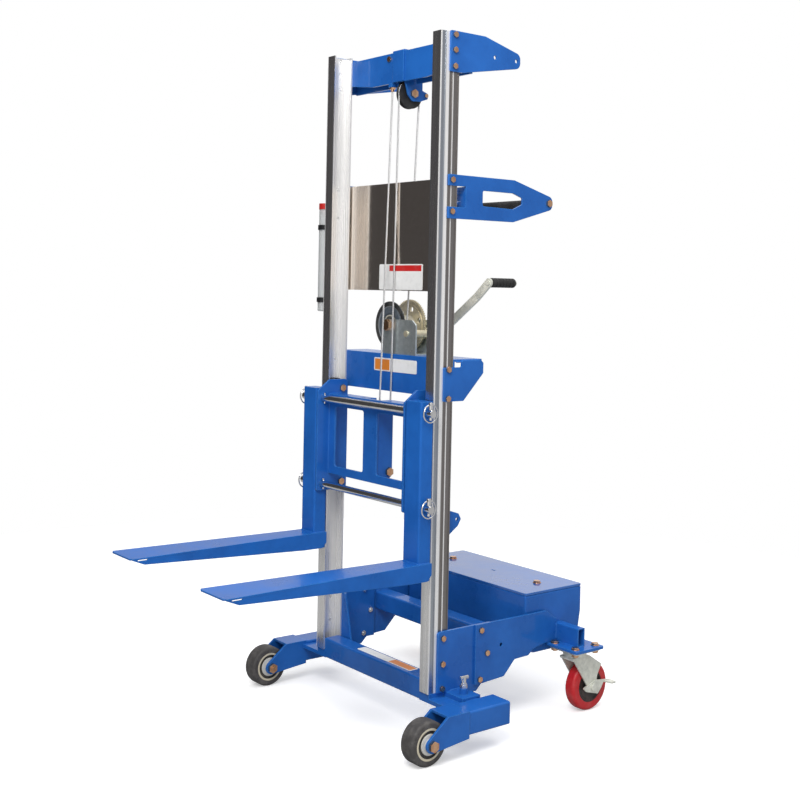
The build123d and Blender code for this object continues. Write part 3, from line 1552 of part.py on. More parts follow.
def frame_bolts():
    """Every bolt, axle and threaded barrel that stays with the frame."""
    right = []
    web = COLUMN_WEB
    for z in top_bolts() + handle_bolts() + support_bolts():
        at = (plate_out, COLUMN_BOLT_LINE, z)
        right.append(bolt(at, (1, 0, 0), UPPER_PLATE + web, SMALL_BOLT))
    for z in MAST_BOLTS:
        at = (bracket_out, COLUMN_BOLT_LINE, z)
        right.append(bolt(at, (1, 0, 0), LOWER_PLATE + web, SMALL_BOLT))
    for y, z in SIDE_BOLTS:
        right.append(bolt((side_out, y, z), (1, 0, 0), 2 * LOWER_PLATE, SMALL_BOLT, nut=True))
    grip_y = rear + HANDLE_REACH
    right.append(bolt((plate_out, grip_y, HANDLE_HEIGHT), (1, 0, 0), 25, MID_BOLT))
    for x, z in panel_bolts():
        at = (x, tab_face + UPPER_PLATE, z)
        screw = bolt(at, (0, 1, 0), tab_face + UPPER_PLATE - panel_face, SMALL_BOLT)
        spacer = disc(x, z, SMALL_BOLT + 3)
        right.append(screw + along_y(spacer, panel_face + PANEL_SHEET, tab_face))
    for x, y in caster_bolt_places():
        grip = CASTER_PLATE + CASTER_TOP_SHEET
        right.append(bolt((x, y, CASTER_PLATE_TOP), (0, 0, 1), grip, MID_BOLT, nut=True))
    screw = (COVER_SCREW_SIDE, COVER_SCREW_BEHIND, WEIGHT_TOP)
    right.append(bolt(screw, (0, 0, 1), 30, MID_BOLT))
    axle_at = (LEG_SIDE + LEG_WIDTH + CHEEK_STEP, -AXLE_FRONT, FRONT_WHEEL_RADIUS)
    right.append(bolt(axle_at, (1, 0, 0), LEG_WIDTH + CHEEK_STEP, FRONT_AXLE, nut=True))
    right.append(plunger_barrel())
    pieces = right + [mirrored(piece) for piece in right]
    clevis = CLEVIS_GAP / 2 + CLEVIS_WALL
    y, z = top_axle
    pieces.append(bolt((clevis, y, z), (1, 0, 0), 2 * clevis, AXLE_BOLT, nut=True))
    keeper = (clevis, y + CLEVIS_FOOT / 2, z - 1)
    pieces.append(bolt(keeper, (1, 0, 0), 2 * clevis, KEEPER_RADIUS, nut=True))
    pieces.append(bolt(strap_bolt(), (0, -1, 0), BEAM_WALL, SMALL_BOLT, nut=True))
    drum = (drum_x, winch_y, drum_z)
    pieces.append(bolt(drum, (0, -1, 0), WINCH_DEPTH, DRUM_SHAFT, nut=True))
    px, pz = pawl_pivot()
    front, back = gear_place()
    pawl_front = (front + back - PAWL_SHEET) / 2 - SIDE_PLAY
    pawl_grip = winch_y + WINCH_DEPTH - pawl_front
    pieces.append(bolt((px, pawl_front, pz), (0, -1, 0), pawl_grip, SMALL_BOLT, nut=True))
    ax, ay, az = anchor
    block_low = beam_top - BEAM_HEIGHT - 10
    stud = along_z(disc(ax, ay, SMALL_BOLT), az + SIDE_PLAY, block_low + 7)
    stud += along_z(disc(ax, ay, FERRULE_RADIUS), az + SIDE_PLAY, block_low - 5)
    stud += along_z(Pos(ax, ay) * RegularPolygon(HEAD_SPREAD * SMALL_BOLT, 6), block_low - 5, block_low)
    pieces.append(stud)
    return group(pieces)


def least_gap(turns):
    """Least gap between turns of the winding, on points at least half a turn apart."""
    points = [edge @ (step / 8) for edge in turns for step in range(8)]
    pairs = [(a, b) for i, a in enumerate(points) for b in points[i + 32 :]]
    return min((a - b).length for a, b in pairs) - 2 * ROPE_RADIUS


def winch_rope():
    """Winding on the drum, the run up the back of the mast and the arc over the top sheave.

    Returns the rope and its length.
    """
    slope = WRAP_PITCH / (2 * pi * wound_radius)
    first_y = drum_start() + DRUM_FLANGE + ROPE_RADIUS + 1.0
    last_y = first_y + WRAPS * WRAP_PITCH

    def on_drum(turns):
        angle = 2 * pi * turns
        x = drum_x + wound_radius * cos(angle)
        z = drum_z + wound_radius * sin(angle)
        place = Vector(x, last_y + turns * WRAP_PITCH, z)
        return place, Vector(-sin(angle), slope, cos(angle)).normalized()

    foot = (last_y, drum_z)
    leave = tangent(foot, 0, 1, top_axle, TOP_PITCH_RADIUS, 1)[1]
    over = tangent(top_axle, TOP_PITCH_RADIUS, 1, low_axle, LOW_PITCH_RADIUS, -1)[0]
    run_way = Vector(0, leave[0] - foot[0], leave[1] - foot[1]).normalized()
    quarters = [step / 4 - WRAPS for step in range(4 * WRAPS + 1)]
    places = [on_drum(turns) for turns in quarters]
    places[-1] = (Vector(0, *foot), run_way)
    begin, begin_way = places[0]
    turns = []
    for (p, p_way), (q, q_way) in zip(places, places[1:]):
        turns += biarc(p, p_way, q, q_way)
    print("least gap between turns on the drum", round(least_gap(turns), 2))
    edges = [Line(begin - begin_way * 2 * ROPE_RADIUS, begin)] + turns
    edges.append(Line(Vector(0, *foot), Vector(0, *leave)))
    edges.append(TangentArc(Vector(0, *leave), Vector(0, *over), tangent=run_way))
    return rope(edges), sum(edge.length for edge in edges)


def falls_rope():
    """Two falls and the loop under the carriage sheave, up to the anchor."""
    over, low = tangent(top_axle, TOP_PITCH_RADIUS, 1, low_axle, LOW_PITCH_RADIUS, -1)
    rise = tangent(low_axle, LOW_PITCH_RADIUS, -1, anchor[1:], 0, 1)[0]
    top = Vector(0, *over)
    bottom = Vector(0, *low)
    turn = Vector(0, *rise)
    end = Vector(*anchor)
    edges = [Line(top, bottom)]
    edges += biarc(bottom, bottom - top, turn, end - turn)
    edges.append(Line(turn, end))
    return rope(edges), sum(edge.length for edge in edges)


pieces = {}


def add(name, piece):
    pieces[name] = piece


def add_pair(name, piece):
    """Add a right-hand piece and its mirror image."""
    pieces[name + "_right"] = piece
    pieces[name + "_left"] = mirrored(piece)


add_pair("column", column())
add("top_beam", top_beam())
add("top_brackets", top_brackets())
add("sheave_clevis", sheave_clevis())
add("top_sheave", sheave(top_axle, TOP_PITCH_RADIUS, TOP_RIM, CLEVIS_GAP / 2 - SIDE_PLAY, 12.0))
add("back_panel", back_panel())
add("handle_plates", handle_plates())
add("handle_grip", handle_grip())
add("winch_support", winch_support())
add("winch_frame", winch_frame())
add("winch_drum", winch_drum())
add("drum_gear", drum_gear())
add("pinion_shaft", pinion_shaft())
add("crank_arm", crank_arm())
add("crank_grip", crank_grip())
add("ratchet_pawl", ratchet_pawl())
add("document_tube", document_tube())
add("document_cap", document_cap())
add("document_clips", document_clips())
add("mast_lug", mast_lug())
add("carriage_frame", carriage_frame())
low_sheave_half = CHEEK_HALF_GAP - SIDE_PLAY
add("carriage_sheave", sheave(low_axle, LOW_PITCH_RADIUS, LOW_RIM, low_sheave_half, 10.0))
add("carriage_bolts", carriage_bolts())
add("lower_rollers", rollers(ROLLER_HEIGHTS[0]))
add("upper_rollers", rollers(ROLLER_HEIGHTS[1]))
add("fork_bars", fork_bars())
add_pair("fork", fork())
add_pair("lower_ring", linchpin_ring(BAR_HEIGHTS[0]))
add_pair("upper_ring", linchpin_ring(BAR_HEIGHTS[1]))
add("front_crossmember", front_crossmember())
add_pair("leg", leg())
add_pair("plunger", plunger())
add_pair("front_tyre", front_tyre())
add_pair("front_hub", front_hub())
add_pair("mast_bracket", mast_bracket())
add_pair("side_plate", side_plate())
add("rear_cross_tube", rear_cross_tube())
add("counterweight", counterweight())
add("weight_cover", weight_cover())
add("caster_beam", caster_beam())
add("caster_plates", caster_plates())
add_pair("caster_fork", caster_fork())
add_pair("caster_wheel", caster_wheel())
add_pair("brake_pedal", brake_pedal())
add("frame_bolts", frame_bolts())
winch_run, winch_length = winch_rope()
add("hoist_cable_winch", winch_run)
falls, falls_length = falls_rope()
add("hoist_cable_falls", falls)
print("rope lengths", round(winch_length), round(falls_length))

whole = Compound([solid for piece in pieces.values() for solid in piece.solids()]).bounding_box()
shift = -(whole.min.Y + whole.max.Y) / 2
print("moved along Y by", round(shift, 3), "box", whole.min, whole.max)

os.makedirs("parts", exist_ok=True)
for name, piece in pieces.items():
    export_step(Pos(0, shift, 0) * piece, "parts/" + name + ".step")
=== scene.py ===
"""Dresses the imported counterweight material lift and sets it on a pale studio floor."""

import json
import logging
import math
from dataclasses import dataclass
from enum import Enum
from enum import IntEnum

import bpy
import numpy as np
from mathutils import Matrix
from mathutils import Vector


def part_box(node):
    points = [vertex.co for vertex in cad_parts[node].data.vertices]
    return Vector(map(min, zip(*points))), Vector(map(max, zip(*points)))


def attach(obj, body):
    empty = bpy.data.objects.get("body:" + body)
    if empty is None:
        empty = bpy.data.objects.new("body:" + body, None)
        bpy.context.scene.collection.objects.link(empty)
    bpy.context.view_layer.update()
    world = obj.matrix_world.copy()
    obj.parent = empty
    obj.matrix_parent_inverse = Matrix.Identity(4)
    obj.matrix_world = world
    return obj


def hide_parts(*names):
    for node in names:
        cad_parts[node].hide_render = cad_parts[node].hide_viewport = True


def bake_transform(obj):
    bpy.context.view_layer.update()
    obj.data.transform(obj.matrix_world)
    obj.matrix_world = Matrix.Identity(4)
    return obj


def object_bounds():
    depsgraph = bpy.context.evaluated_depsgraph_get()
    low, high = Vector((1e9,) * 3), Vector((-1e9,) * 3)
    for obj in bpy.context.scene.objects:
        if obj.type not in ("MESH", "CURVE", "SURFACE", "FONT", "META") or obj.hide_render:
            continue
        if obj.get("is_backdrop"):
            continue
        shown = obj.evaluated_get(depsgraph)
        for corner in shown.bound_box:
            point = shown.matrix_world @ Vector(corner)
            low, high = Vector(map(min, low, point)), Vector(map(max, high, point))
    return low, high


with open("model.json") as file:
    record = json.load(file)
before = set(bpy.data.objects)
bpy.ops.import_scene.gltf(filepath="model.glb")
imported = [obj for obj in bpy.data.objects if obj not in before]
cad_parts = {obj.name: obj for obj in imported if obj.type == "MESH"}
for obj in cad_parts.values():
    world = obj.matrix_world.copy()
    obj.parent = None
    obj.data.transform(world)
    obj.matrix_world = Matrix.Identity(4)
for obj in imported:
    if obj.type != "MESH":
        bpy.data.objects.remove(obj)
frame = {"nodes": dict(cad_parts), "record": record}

LOG = logging.getLogger("lift")
MM = 0.001

Colour = tuple[float, float, float]
Point = tuple[float, float, float]

ALONG_X: Point = (1.0, 0.0, 0.0)
ALONG_Y: Point = (0.0, 1.0, 0.0)
BLACK: Colour = (0.0, 0.0, 0.0)
PURE_WHITE: Colour = (1.0, 1.0, 1.0)
# Shares of a noise pattern between which tones and glosses change
TONE_RANGE = (0.35, 0.65)
GLOSS_RANGE = (0.3, 0.7)


class Body(Enum):
    """Moving bodies that new pieces ride on."""

    FRAME = "frame"
    CARRIAGE = "carriage"


class Axis(IntEnum):
    """Axes of the row frame, numbered as in a point."""

    X = 0
    Y = 1
    Z = 2


class Pattern(Enum):
    """Ways in which a bare metal surface was worked."""

    DRAWN = "drawn"
    MOTTLED = "mottled"


class Graph:
    """Shorthand for laying nodes into one node tree."""

    def __init__(self, tree: bpy.types.NodeTree) -> None:
        """Keep the tree that nodes are added to."""
        self.tree = tree

    def node(self, kind: str, inputs: dict | None = None, **settings: object) -> bpy.types.Node:
        """Add one node.

        Args:
            kind: Blender's name of the node type.
            inputs: values or sockets by input name or number.
            settings: properties of the node itself.

        Returns:
            The new node.
        """
        made = self.tree.nodes.new(kind)
        for name, value in settings.items():
            setattr(made, name, value)
        for name, value in (inputs or {}).items():
            if isinstance(value, bpy.types.NodeSocket):
                self.tree.links.new(value, made.inputs[name])
            else:
                made.inputs[name].default_value = value
        return made

    def math(self, operation: str, first: object, second: object = 0.0) -> bpy.types.NodeSocket:
        """Return one arithmetic step on two values or sockets."""
        return self.node("ShaderNodeMath", {0: first, 1: second}, operation=operation).outputs[0]

    def mix(
        self, factor: object, first: object, second: object, blend: str = "MIX"
    ) -> bpy.types.NodeSocket:
        """Return a colour between two colours or sockets, or their blend.

        Args:
            factor: share of the second colour, from 0 to 1.
            first: colour or socket at 0.
            second: colour or socket at 1.
            blend: Blender's name of the way they are put together.

        Returns:
            The socket with the colour.
        """
        made = self.node("ShaderNodeMix", {0: factor}, data_type="RGBA", blend_type=blend)
        for number, value in ((6, first), (7, second)):
            if isinstance(value, bpy.types.NodeSocket):
                self.tree.links.new(value, made.inputs[number])
            else:
                made.inputs[number].default_value = (*value, 1.0)
        return made.outputs[2]

    def span(
        self, value: object, low: float, high: float, to_low: float, to_high: float
    ) -> bpy.types.NodeSocket:
        """Return a value carried from one range to another and held at its ends."""
        made = self.node("ShaderNodeMapRange", {0: value, 1: low, 2: high, 3: to_low, 4: to_high})
        return made.outputs[0]

    def group(self, tree: bpy.types.NodeTree, inputs: dict | None = None) -> bpy.types.Node:
        """Place a node group with its own values."""
        return self.node("ShaderNodeGroup", inputs, node_tree=tree)


class SurfaceEffects:
    """Shader node groups that several finishes share."""

    def __init__(self) -> None:
        """Build every group once."""
        self.edges = self._edges()
        self.clouds = self._clouds()
        self.streaks = self._streaks()

    @staticmethod
    def _start(name: str, inputs: dict[str, float], outputs: dict[str, str]) -> tuple:
        """Open a group with named float inputs and typed outputs.

        Args:
            name: name of the group.
            inputs: default values by input name.
            outputs: socket types by output name.

        Returns:
            The group's graph, its input node and its output node.
        """
        tree = bpy.data.node_groups.new(name, "ShaderNodeTree")
        for label, value in inputs.items():
            socket = tree.interface.new_socket(label, in_out="INPUT", socket_type="NodeSocketFloat")
            socket.default_value = value
        for label, kind in outputs.items():
            tree.interface.new_socket(label, in_out="OUTPUT", socket_type=kind)
        graph = Graph(tree)
        start = graph.node("NodeGroupInput")
        end = graph.node("NodeGroupOutput")
        return graph, start, end

    def _edges(self) -> bpy.types.NodeTree:
        """Rounded edges: the normal turned round each edge, and a mask of where it turned.

        Returns:
            The finished group.
        """
        outputs = {"Normal": "NodeSocketVector", "Mask": "NodeSocketFloat"}
        graph, start, end = self._start("rounded_edges", {"Radius": 0.002, "Gain": 4.0}, outputs)
        bevel = graph.node("ShaderNodeBevel", {"Radius": start.outputs["Radius"]}, samples=4)
        flat = graph.node("ShaderNodeNewGeometry")
        both = {0: bevel.outputs[0], 1: flat.outputs["Normal"]}
        facing = graph.node("ShaderNodeVectorMath", both, operation="DOT_PRODUCT").outputs["Value"]
        turned = graph.math("SUBTRACT", 1.0, facing)
        mask = graph.node("ShaderNodeMath", {0: turned, 1: start.outputs["Gain"]}, operation="MULTIPLY")
        mask.use_clamp = True
        graph.tree.links.new(bevel.outputs[0], end.inputs["Normal"])
        graph.tree.links.new(mask.outputs[0], end.inputs["Mask"])
        return graph.tree

    def _clouds(self) -> bpy.types.NodeTree:
        """Soft clouds: one broad patch pattern and one fine grain, both from 0 to 1.

        Returns:
            The finished group.
        """
        outputs = {"Patches": "NodeSocketFloat", "Grain": "NodeSocketFloat"}
        inputs = {"Patch Scale": 12.0, "Grain Scale": 900.0}
        graph, start, end = self._start("clouds_and_grain", inputs, outputs)
        place = graph.node("ShaderNodeTexCoord").outputs["Object"]
        for label, detail, rough in (("Patch", 4.0, 0.6), ("Grain", 2.0, 0.5)):
            sockets = {"Vector": place, "Scale": start.outputs[label + " Scale"]}
            noise = graph.node("ShaderNodeTexNoise", sockets)
            noise.inputs["Detail"].default_value = detail
            noise.inputs["Roughness"].default_value = rough
            name = "Patches" if label == "Patch" else "Grain"
            graph.tree.links.new(noise.outputs[0], end.inputs[name])
        return graph.tree

    def _streaks(self) -> bpy.types.NodeTree:
        """Drawn streaks: noise stretched along Z, coarse for tone and fine for height.

        Returns:
            The finished group.
        """
        outputs = {"Tone": "NodeSocketFloat", "Height": "NodeSocketFloat"}
        graph, start, end = self._start("drawn_streaks", {"Length": 1.2}, outputs)
        place = graph.node("ShaderNodeTexCoord").outputs["Object"]
        for name, across in (("Tone", 90.0), ("Height", 700.0)):
            scale = graph.node("ShaderNodeCombineXYZ", {0: across, 1: across, 2: start.outputs["Length"]})
            sockets = {0: place, 1: scale.outputs[0]}
            stretched = graph.node("ShaderNodeVectorMath", sockets, operation="MULTIPLY")
            noise = graph.node("ShaderNodeTexNoise", {"Vector": stretched.outputs[0], "Scale": 1.0})
            noise.inputs["Detail"].default_value = 3.0
            graph.tree.links.new(noise.outputs[0], end.inputs[name])
        return graph.tree


EFFECTS = SurfaceEffects()


@dataclass(frozen=True)
class Finish:
    """What every finish has: a name, a colour and a gloss."""

    name: str
    colour: Colour
    roughness: float

    def material(self) -> bpy.types.Material:
        """Return this finish's material, made on first use.

        Returns:
            The material.
        """
        label = f"{self.name}_finish"
        found = bpy.data.materials.get(label)
        if found:
            return found
        made = bpy.data.materials.new(label)
        made.use_nodes = True
        graph = Graph(made.node_tree)
        shader = made.node_tree.nodes["Principled BSDF"]
        shader.inputs["Roughness"].default_value = self.roughness
        shader.inputs["Base Color"].default_value = (*self.colour, 1.0)
        self.lay(graph, shader)
        return made

    def lay(self, graph: Graph, shader: bpy.types.Node) -> None:
        """Lay the nodes that give the surface its detail."""

    def feed(self, graph: Graph, shader: bpy.types.Node, **sockets: bpy.types.NodeSocket) -> None:
        """Link sockets to the shader's inputs, underscores standing for spaces."""
        for name, socket in sockets.items():
            graph.tree.links.new(socket, shader.inputs[name.replace("_", " ")])

    def bump(self, graph: Graph, height: object, depth: float, normal: object = None) -> bpy.types.NodeSocket:
        """Return a normal roughened by a height pattern of a depth in metres.

        Args:
            graph: node tree of the material.
            height: socket of the pattern, from 0 to 1.
            depth: how deep the pattern goes.
            normal: socket of the normal under it, or nothing for the face's own.

        Returns:
            The socket with the normal.
        """
        sockets = {"Height": height, "Distance": depth, "Strength": 1.0}
        if normal is not None:
            sockets["Normal"] = normal
        return graph.node("ShaderNodeBump", sockets).outputs[0]


@dataclass(frozen=True)
class PaintFinish(Finish):
    """Gloss powder coat with orange peel, a little dust, and a painted highlight of a lighter tone along the
    rounded edges.
    """

    # edge: lighter tone that paints a highlight along the rounded edges
    edge: Colour = (0.10, 0.42, 0.85)
    shade: Colour = (0.013, 0.108, 0.42)
    peel: float = 0.012 * MM
    peel_scale: float = 420.0
    patch_scale: float = 9.0
    round_edge: float = 2.2 * MM
    edge_gain: float = 3.0
    edge_highlight_share: float = 0.55
    gloss_best: float = 0.8
    gloss_worst: float = 1.35
    coat: float = 0.45
    coat_roughness: float = 0.05
    coat_ior: float = 1.45
    specular: float = 0.1

    def lay(self, graph: Graph, shader: bpy.types.Node) -> None:
        """Mix the shade colour and the colour in random patches, paint a highlight of the edge tone along the
        edges; roughen the gloss in patches; add the peel.

        Args:
            graph: node tree of the material.
            shader: the shader that the nodes feed.
        """
        shader.inputs["Coat Weight"].default_value = self.coat
        shader.inputs["Coat Roughness"].default_value = self.coat_roughness
        shader.inputs["Coat IOR"].default_value = self.coat_ior
        shader.inputs["Specular IOR Level"].default_value = self.specular
        sizes = {"Patch Scale": self.patch_scale, "Grain Scale": self.peel_scale}
        clouds = graph.group(EFFECTS.clouds, sizes)
        edges = graph.group(EFFECTS.edges, {"Radius": self.round_edge, "Gain": self.edge_gain})
        tone = graph.span(clouds.outputs["Patches"], *TONE_RANGE, 0.0, 1.0)
        body = graph.mix(tone, self.shade, self.colour)
        # Painted highlight: the rounded-edge mask lightens the colour towards the edge tone.
        painted_edge_highlight = graph.math("MULTIPLY", edges.outputs["Mask"], self.edge_highlight_share)
        colour = graph.mix(painted_edge_highlight, body, self.edge)
        best = self.roughness * self.gloss_best
        worst = self.roughness * self.gloss_worst
        gloss = graph.span(clouds.outputs["Patches"], *GLOSS_RANGE, best, worst)
        normal = self.bump(graph, clouds.outputs["Grain"], self.peel, edges.outputs["Normal"])
        self.feed(graph, shader, Base_Color=colour, Roughness=gloss, Normal=normal)


@dataclass(frozen=True)
class MetalFinish(Finish):
    """Bare or plated metal, streaked or mottled."""

    tint: Colour = (0.5, 0.5, 0.5)
    pattern: Pattern = Pattern.MOTTLED
    depth: float = 0.01 * MM
    metallic: float = 1.0
    patch_scale: float = 60.0
    grain_scale: float = 1400.0
    streak_length: float = 1.2
    round_edge: float = 0.8 * MM
    edge_gain: float = 3.0
    gloss_worst: float = 1.3
    gloss_best: float = 0.8

    def lay(self, graph: Graph, shader: bpy.types.Node) -> None:
        """Mix two metal tones by the pattern and roughen the gloss with it.

        Args:
            graph: node tree of the material.
            shader: the shader that the nodes feed.
        """
        shader.inputs["Metallic"].default_value = self.metallic
        sizes = {"Patch Scale": self.patch_scale, "Grain Scale": self.grain_scale}
        clouds = graph.group(EFFECTS.clouds, sizes)
        edges = graph.group(EFFECTS.edges, {"Radius": self.round_edge, "Gain": self.edge_gain})
        tone = clouds.outputs["Patches"]
        height = clouds.outputs["Grain"]
        if self.pattern is Pattern.DRAWN:
            streaks = graph.group(EFFECTS.streaks, {"Length": self.streak_length})
            tone = streaks.outputs["Tone"]
            height = streaks.outputs["Height"]
        share = graph.span(tone, *TONE_RANGE, 0.0, 1.0)
        colour = graph.mix(share, self.tint, self.colour)
        worst = self.roughness * self.gloss_worst
        best = self.roughness * self.gloss_best
        gloss = graph.span(tone, *GLOSS_RANGE, worst, best)
        normal = self.bump(graph, height, self.depth, edges.outputs["Normal"])
        self.feed(graph, shader, Base_Color=colour, Roughness=gloss, Normal=normal)


@dataclass(frozen=True)
class ColumnFinish(MetalFinish):
    """Drawn aluminium channel whose outer side carries painted reflections: pale highlight stripes and darker
    bluish and brown stripes across its depth.
    """

    node: str = "column_right"
    skin: float = 2.0 * MM
    painted_reflection_bands: tuple[tuple[float, Colour], ...] = ()
    painted_highlight_from: float = 0.9
    dull_share: float = 0.75
    inside_share: float = 0.5

    def lay(self, graph: Graph, shader: bpy.types.Node) -> None:
        """Lay the drawn metal, then paint reflection stripes on the channel's outer side by the place across
        its depth.

        Args:
            graph: node tree of the material.
            shader: the shader that the nodes feed.
        """
        super().lay(graph, shader)
        low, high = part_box(self.node)
        place = graph.node("ShaderNodeTexCoord").outputs["Object"]
        parts = graph.node("ShaderNodeSeparateXYZ", {0: place})
        share = graph.span(parts.outputs[1], low.y, high.y, 0.0, 1.0)
        # Painted reflection: a ramp of stripe colours across the channel's depth, multiplied into the outer
        # side.
        ramp = graph.node("ShaderNodeValToRGB", {0: share})
        stops = ramp.color_ramp.elements
        stops.remove(stops[1])
        stops[0].color = (*self.painted_reflection_bands[0][1], 1.0)
        for position, colour in self.painted_reflection_bands[1:]:
            stops.new(position).color = (*colour, 1.0)
        outside = graph.math("GREATER_THAN", graph.math("ABSOLUTE", parts.outputs[0]), high.x - self.skin)
        below = shader.inputs["Base Color"].links[0].from_socket
        reflection_banded_colour = graph.mix(outside, below, ramp.outputs[0], "MULTIPLY")
        # The pale painted highlight stripes lose some metallic so that they read as bright white.
        light = graph.math("GREATER_THAN", ramp.outputs[0], self.painted_highlight_from)
        pale = graph.math("MULTIPLY", outside, light)
        behind = graph.math("GREATER_THAN", parts.outputs[1], low.y + self.skin)
        inside = graph.math("MULTIPLY", behind, graph.math("SUBTRACT", 1.0, outside))
        dull = graph.math("MULTIPLY", pale, self.dull_share)
        shaded = graph.math("MULTIPLY", inside, self.inside_share)
        metal = graph.math("SUBTRACT", 1.0, graph.math("ADD", dull, shaded))
        self.feed(graph, shader, Base_Color=reflection_banded_colour, Metallic=metal)


@dataclass(frozen=True)
class MouldedFinish(Finish):
    """Rubber or plastic with a fine grain, scuffs and dust."""

    dust: Colour = (0.3, 0.3, 0.3)
    dust_share: float = 0.25
    dust_range: tuple[float, float] = (0.45, 0.75)
    depth: float = 0.03 * MM
    patch_scale: float = 45.0
    grain_scale: float = 700.0
    round_edge: float = 1.2 * MM
    edge_gain: float = 2.0
    gloss_best: float = 0.9
    gloss_worst: float = 1.15
    transmission: float = 0.0

    def lay(self, graph: Graph, shader: bpy.types.Node) -> None:
        """Dust the colour in patches and on edges, and grain the surface.

        Args:
            graph: node tree of the material.
            shader: the shader that the nodes feed.
        """
        shader.inputs["Transmission Weight"].default_value = self.transmission
        sizes = {"Patch Scale": self.patch_scale, "Grain Scale": self.grain_scale}
        clouds = graph.group(EFFECTS.clouds, sizes)
        edges = graph.group(EFFECTS.edges, {"Radius": self.round_edge, "Gain": self.edge_gain})
        patches = graph.span(clouds.outputs["Patches"], *self.dust_range, 0.0, self.dust_share)
        rubbed = graph.math("MULTIPLY", edges.outputs["Mask"], self.dust_share)
        share = graph.math("MAXIMUM", patches, rubbed)
        colour = graph.mix(share, self.body(graph), self.dust)
        best = self.roughness * self.gloss_best
        worst = self.roughness * self.gloss_worst
        gloss = graph.span(clouds.outputs["Patches"], *GLOSS_RANGE, best, worst)
        normal = self.bump(graph, clouds.outputs["Grain"], self.depth, edges.outputs["Normal"])
        self.feed(graph, shader, Base_Color=colour, Roughness=gloss, Normal=normal)

    def body(self, graph: Graph) -> object:
        """Return the colour under the dust."""
        return self.colour


@dataclass(frozen=True)
class WheelFinish(MouldedFinish):
    """Wheel or flange whose colour changes in rings about its axle."""

    node: str = ""
    axle: Axis = Axis.X
    rings: tuple[tuple[float, Colour], ...] = ()

    def body(self, graph: Graph) -> object:
        """Return ring colours by the distance from the axle.

        Args:
            graph: node tree of the material.

        Returns:
            The socket with the colour.
        """
        low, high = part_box(self.node)
        middle = (low + high) / 2
        reach = (high.z - low.z) / 2
        place = graph.node("ShaderNodeTexCoord").outputs["Object"]
        keep = [float(axis != self.axle) for axis in Axis]
        shift = tuple(-part * kept for part, kept in zip(middle, keep))
        mapping = {"Vector": place, "Location": shift, "Scale": tuple(keep)}
        flat = graph.node("ShaderNodeMapping", mapping).outputs[0]
        length = graph.node("ShaderNodeVectorMath", {0: flat}, operation="LENGTH").outputs["Value"]
        share = graph.math("DIVIDE", length, reach)
        ramp = graph.node("ShaderNodeValToRGB", {0: share})
        ramp.color_ramp.interpolation = "CONSTANT"
        ramp.color_ramp.elements[0].color = (*self.colour, 1.0)
        ramp.color_ramp.elements.remove(ramp.color_ramp.elements[1])
        for radius, colour in self.rings:
            stop = ramp.color_ramp.elements.new(radius / reach)
            stop.color = (*colour, 1.0)
        return ramp.outputs[0]


@dataclass(frozen=True)
class PlateFinish(MouldedFinish):
    """Blank plate with one block in an accent colour."""

    accent: Colour = (0.8, 0.2, 0.02)
    spans: tuple[tuple[Axis, float, float], ...] = ()

    def body(self, graph: Graph) -> object:
        """Return the accent inside the block and the plain colour round it.

        Args:
            graph: node tree of the material.

        Returns:
            The socket with the colour.
        """
        place = graph.node("ShaderNodeTexCoord").outputs["Object"]
        parts = graph.node("ShaderNodeSeparateXYZ", {0: place})
        share: object = 1.0
        for axis, low, high in self.spans:
            over = graph.math("GREATER_THAN", parts.outputs[axis], low)
            under = graph.math("LESS_THAN", parts.outputs[axis], high)
            share = graph.math("MULTIPLY", share, graph.math("MULTIPLY", over, under))
        return graph.mix(share, self.colour, self.accent)


@dataclass(frozen=True)
class BoltFinish(MetalFinish):
    """Yellow passivated bolts, bright at the plungers, at the forks' pins and inside the columns."""

    bright: Colour = (0.78, 0.78, 0.78)
    pin_rows: tuple[float, float] = (-30.0 * MM, 2.0 * MM)
    flush: float = 0.5 * MM
    plunger_reach: float = 16.0 * MM

    def lay(self, graph: Graph, shader: bpy.types.Node) -> None:
        """Lay the plated metal, then whiten it at the plungers, the forks' pins and inside the columns.

        Args:
            graph: node tree of the material.
            shader: the shader that the nodes feed.
        """
        super().lay(graph, shader)
        low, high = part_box("plunger_right")
        middle = (low + high) / 2
        place = graph.node("ShaderNodeTexCoord").outputs["Object"]
        parts = graph.node("ShaderNodeSeparateXYZ", {0: place})
        side = graph.math("SUBTRACT", graph.math("ABSOLUTE", parts.outputs[0]), middle.x)
        along = graph.math("SUBTRACT", parts.outputs[1], middle.y)
        squares = graph.math("ADD", graph.math("POWER", side, 2.0), graph.math("POWER", along, 2.0))
        near = graph.math("LESS_THAN", squares, self.plunger_reach**2)
        first, last = self.pin_rows
        behind = graph.math("GREATER_THAN", parts.outputs[1], first)
        ahead = graph.math("LESS_THAN", parts.outputs[1], last)
        pins = graph.math("MULTIPLY", behind, ahead)
        reach = graph.math("ABSOLUTE", parts.outputs[0])
        ends = graph.math("LESS_THAN", reach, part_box("column_right")[1].x + self.flush)
        channel = graph.math("GREATER_THAN", reach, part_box("column_right")[0].x)
        level = graph.math("GREATER_THAN", parts.outputs[2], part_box("column_right")[0].z)
        flat = graph.math("MULTIPLY", graph.math("MULTIPLY", ends, channel), level)
        white = graph.math("MAXIMUM", graph.math("MAXIMUM", near, pins), flat)
        below = shader.inputs["Base Color"].links[0].from_socket
        self.feed(graph, shader, Base_Color=graph.mix(white, below, self.bright))


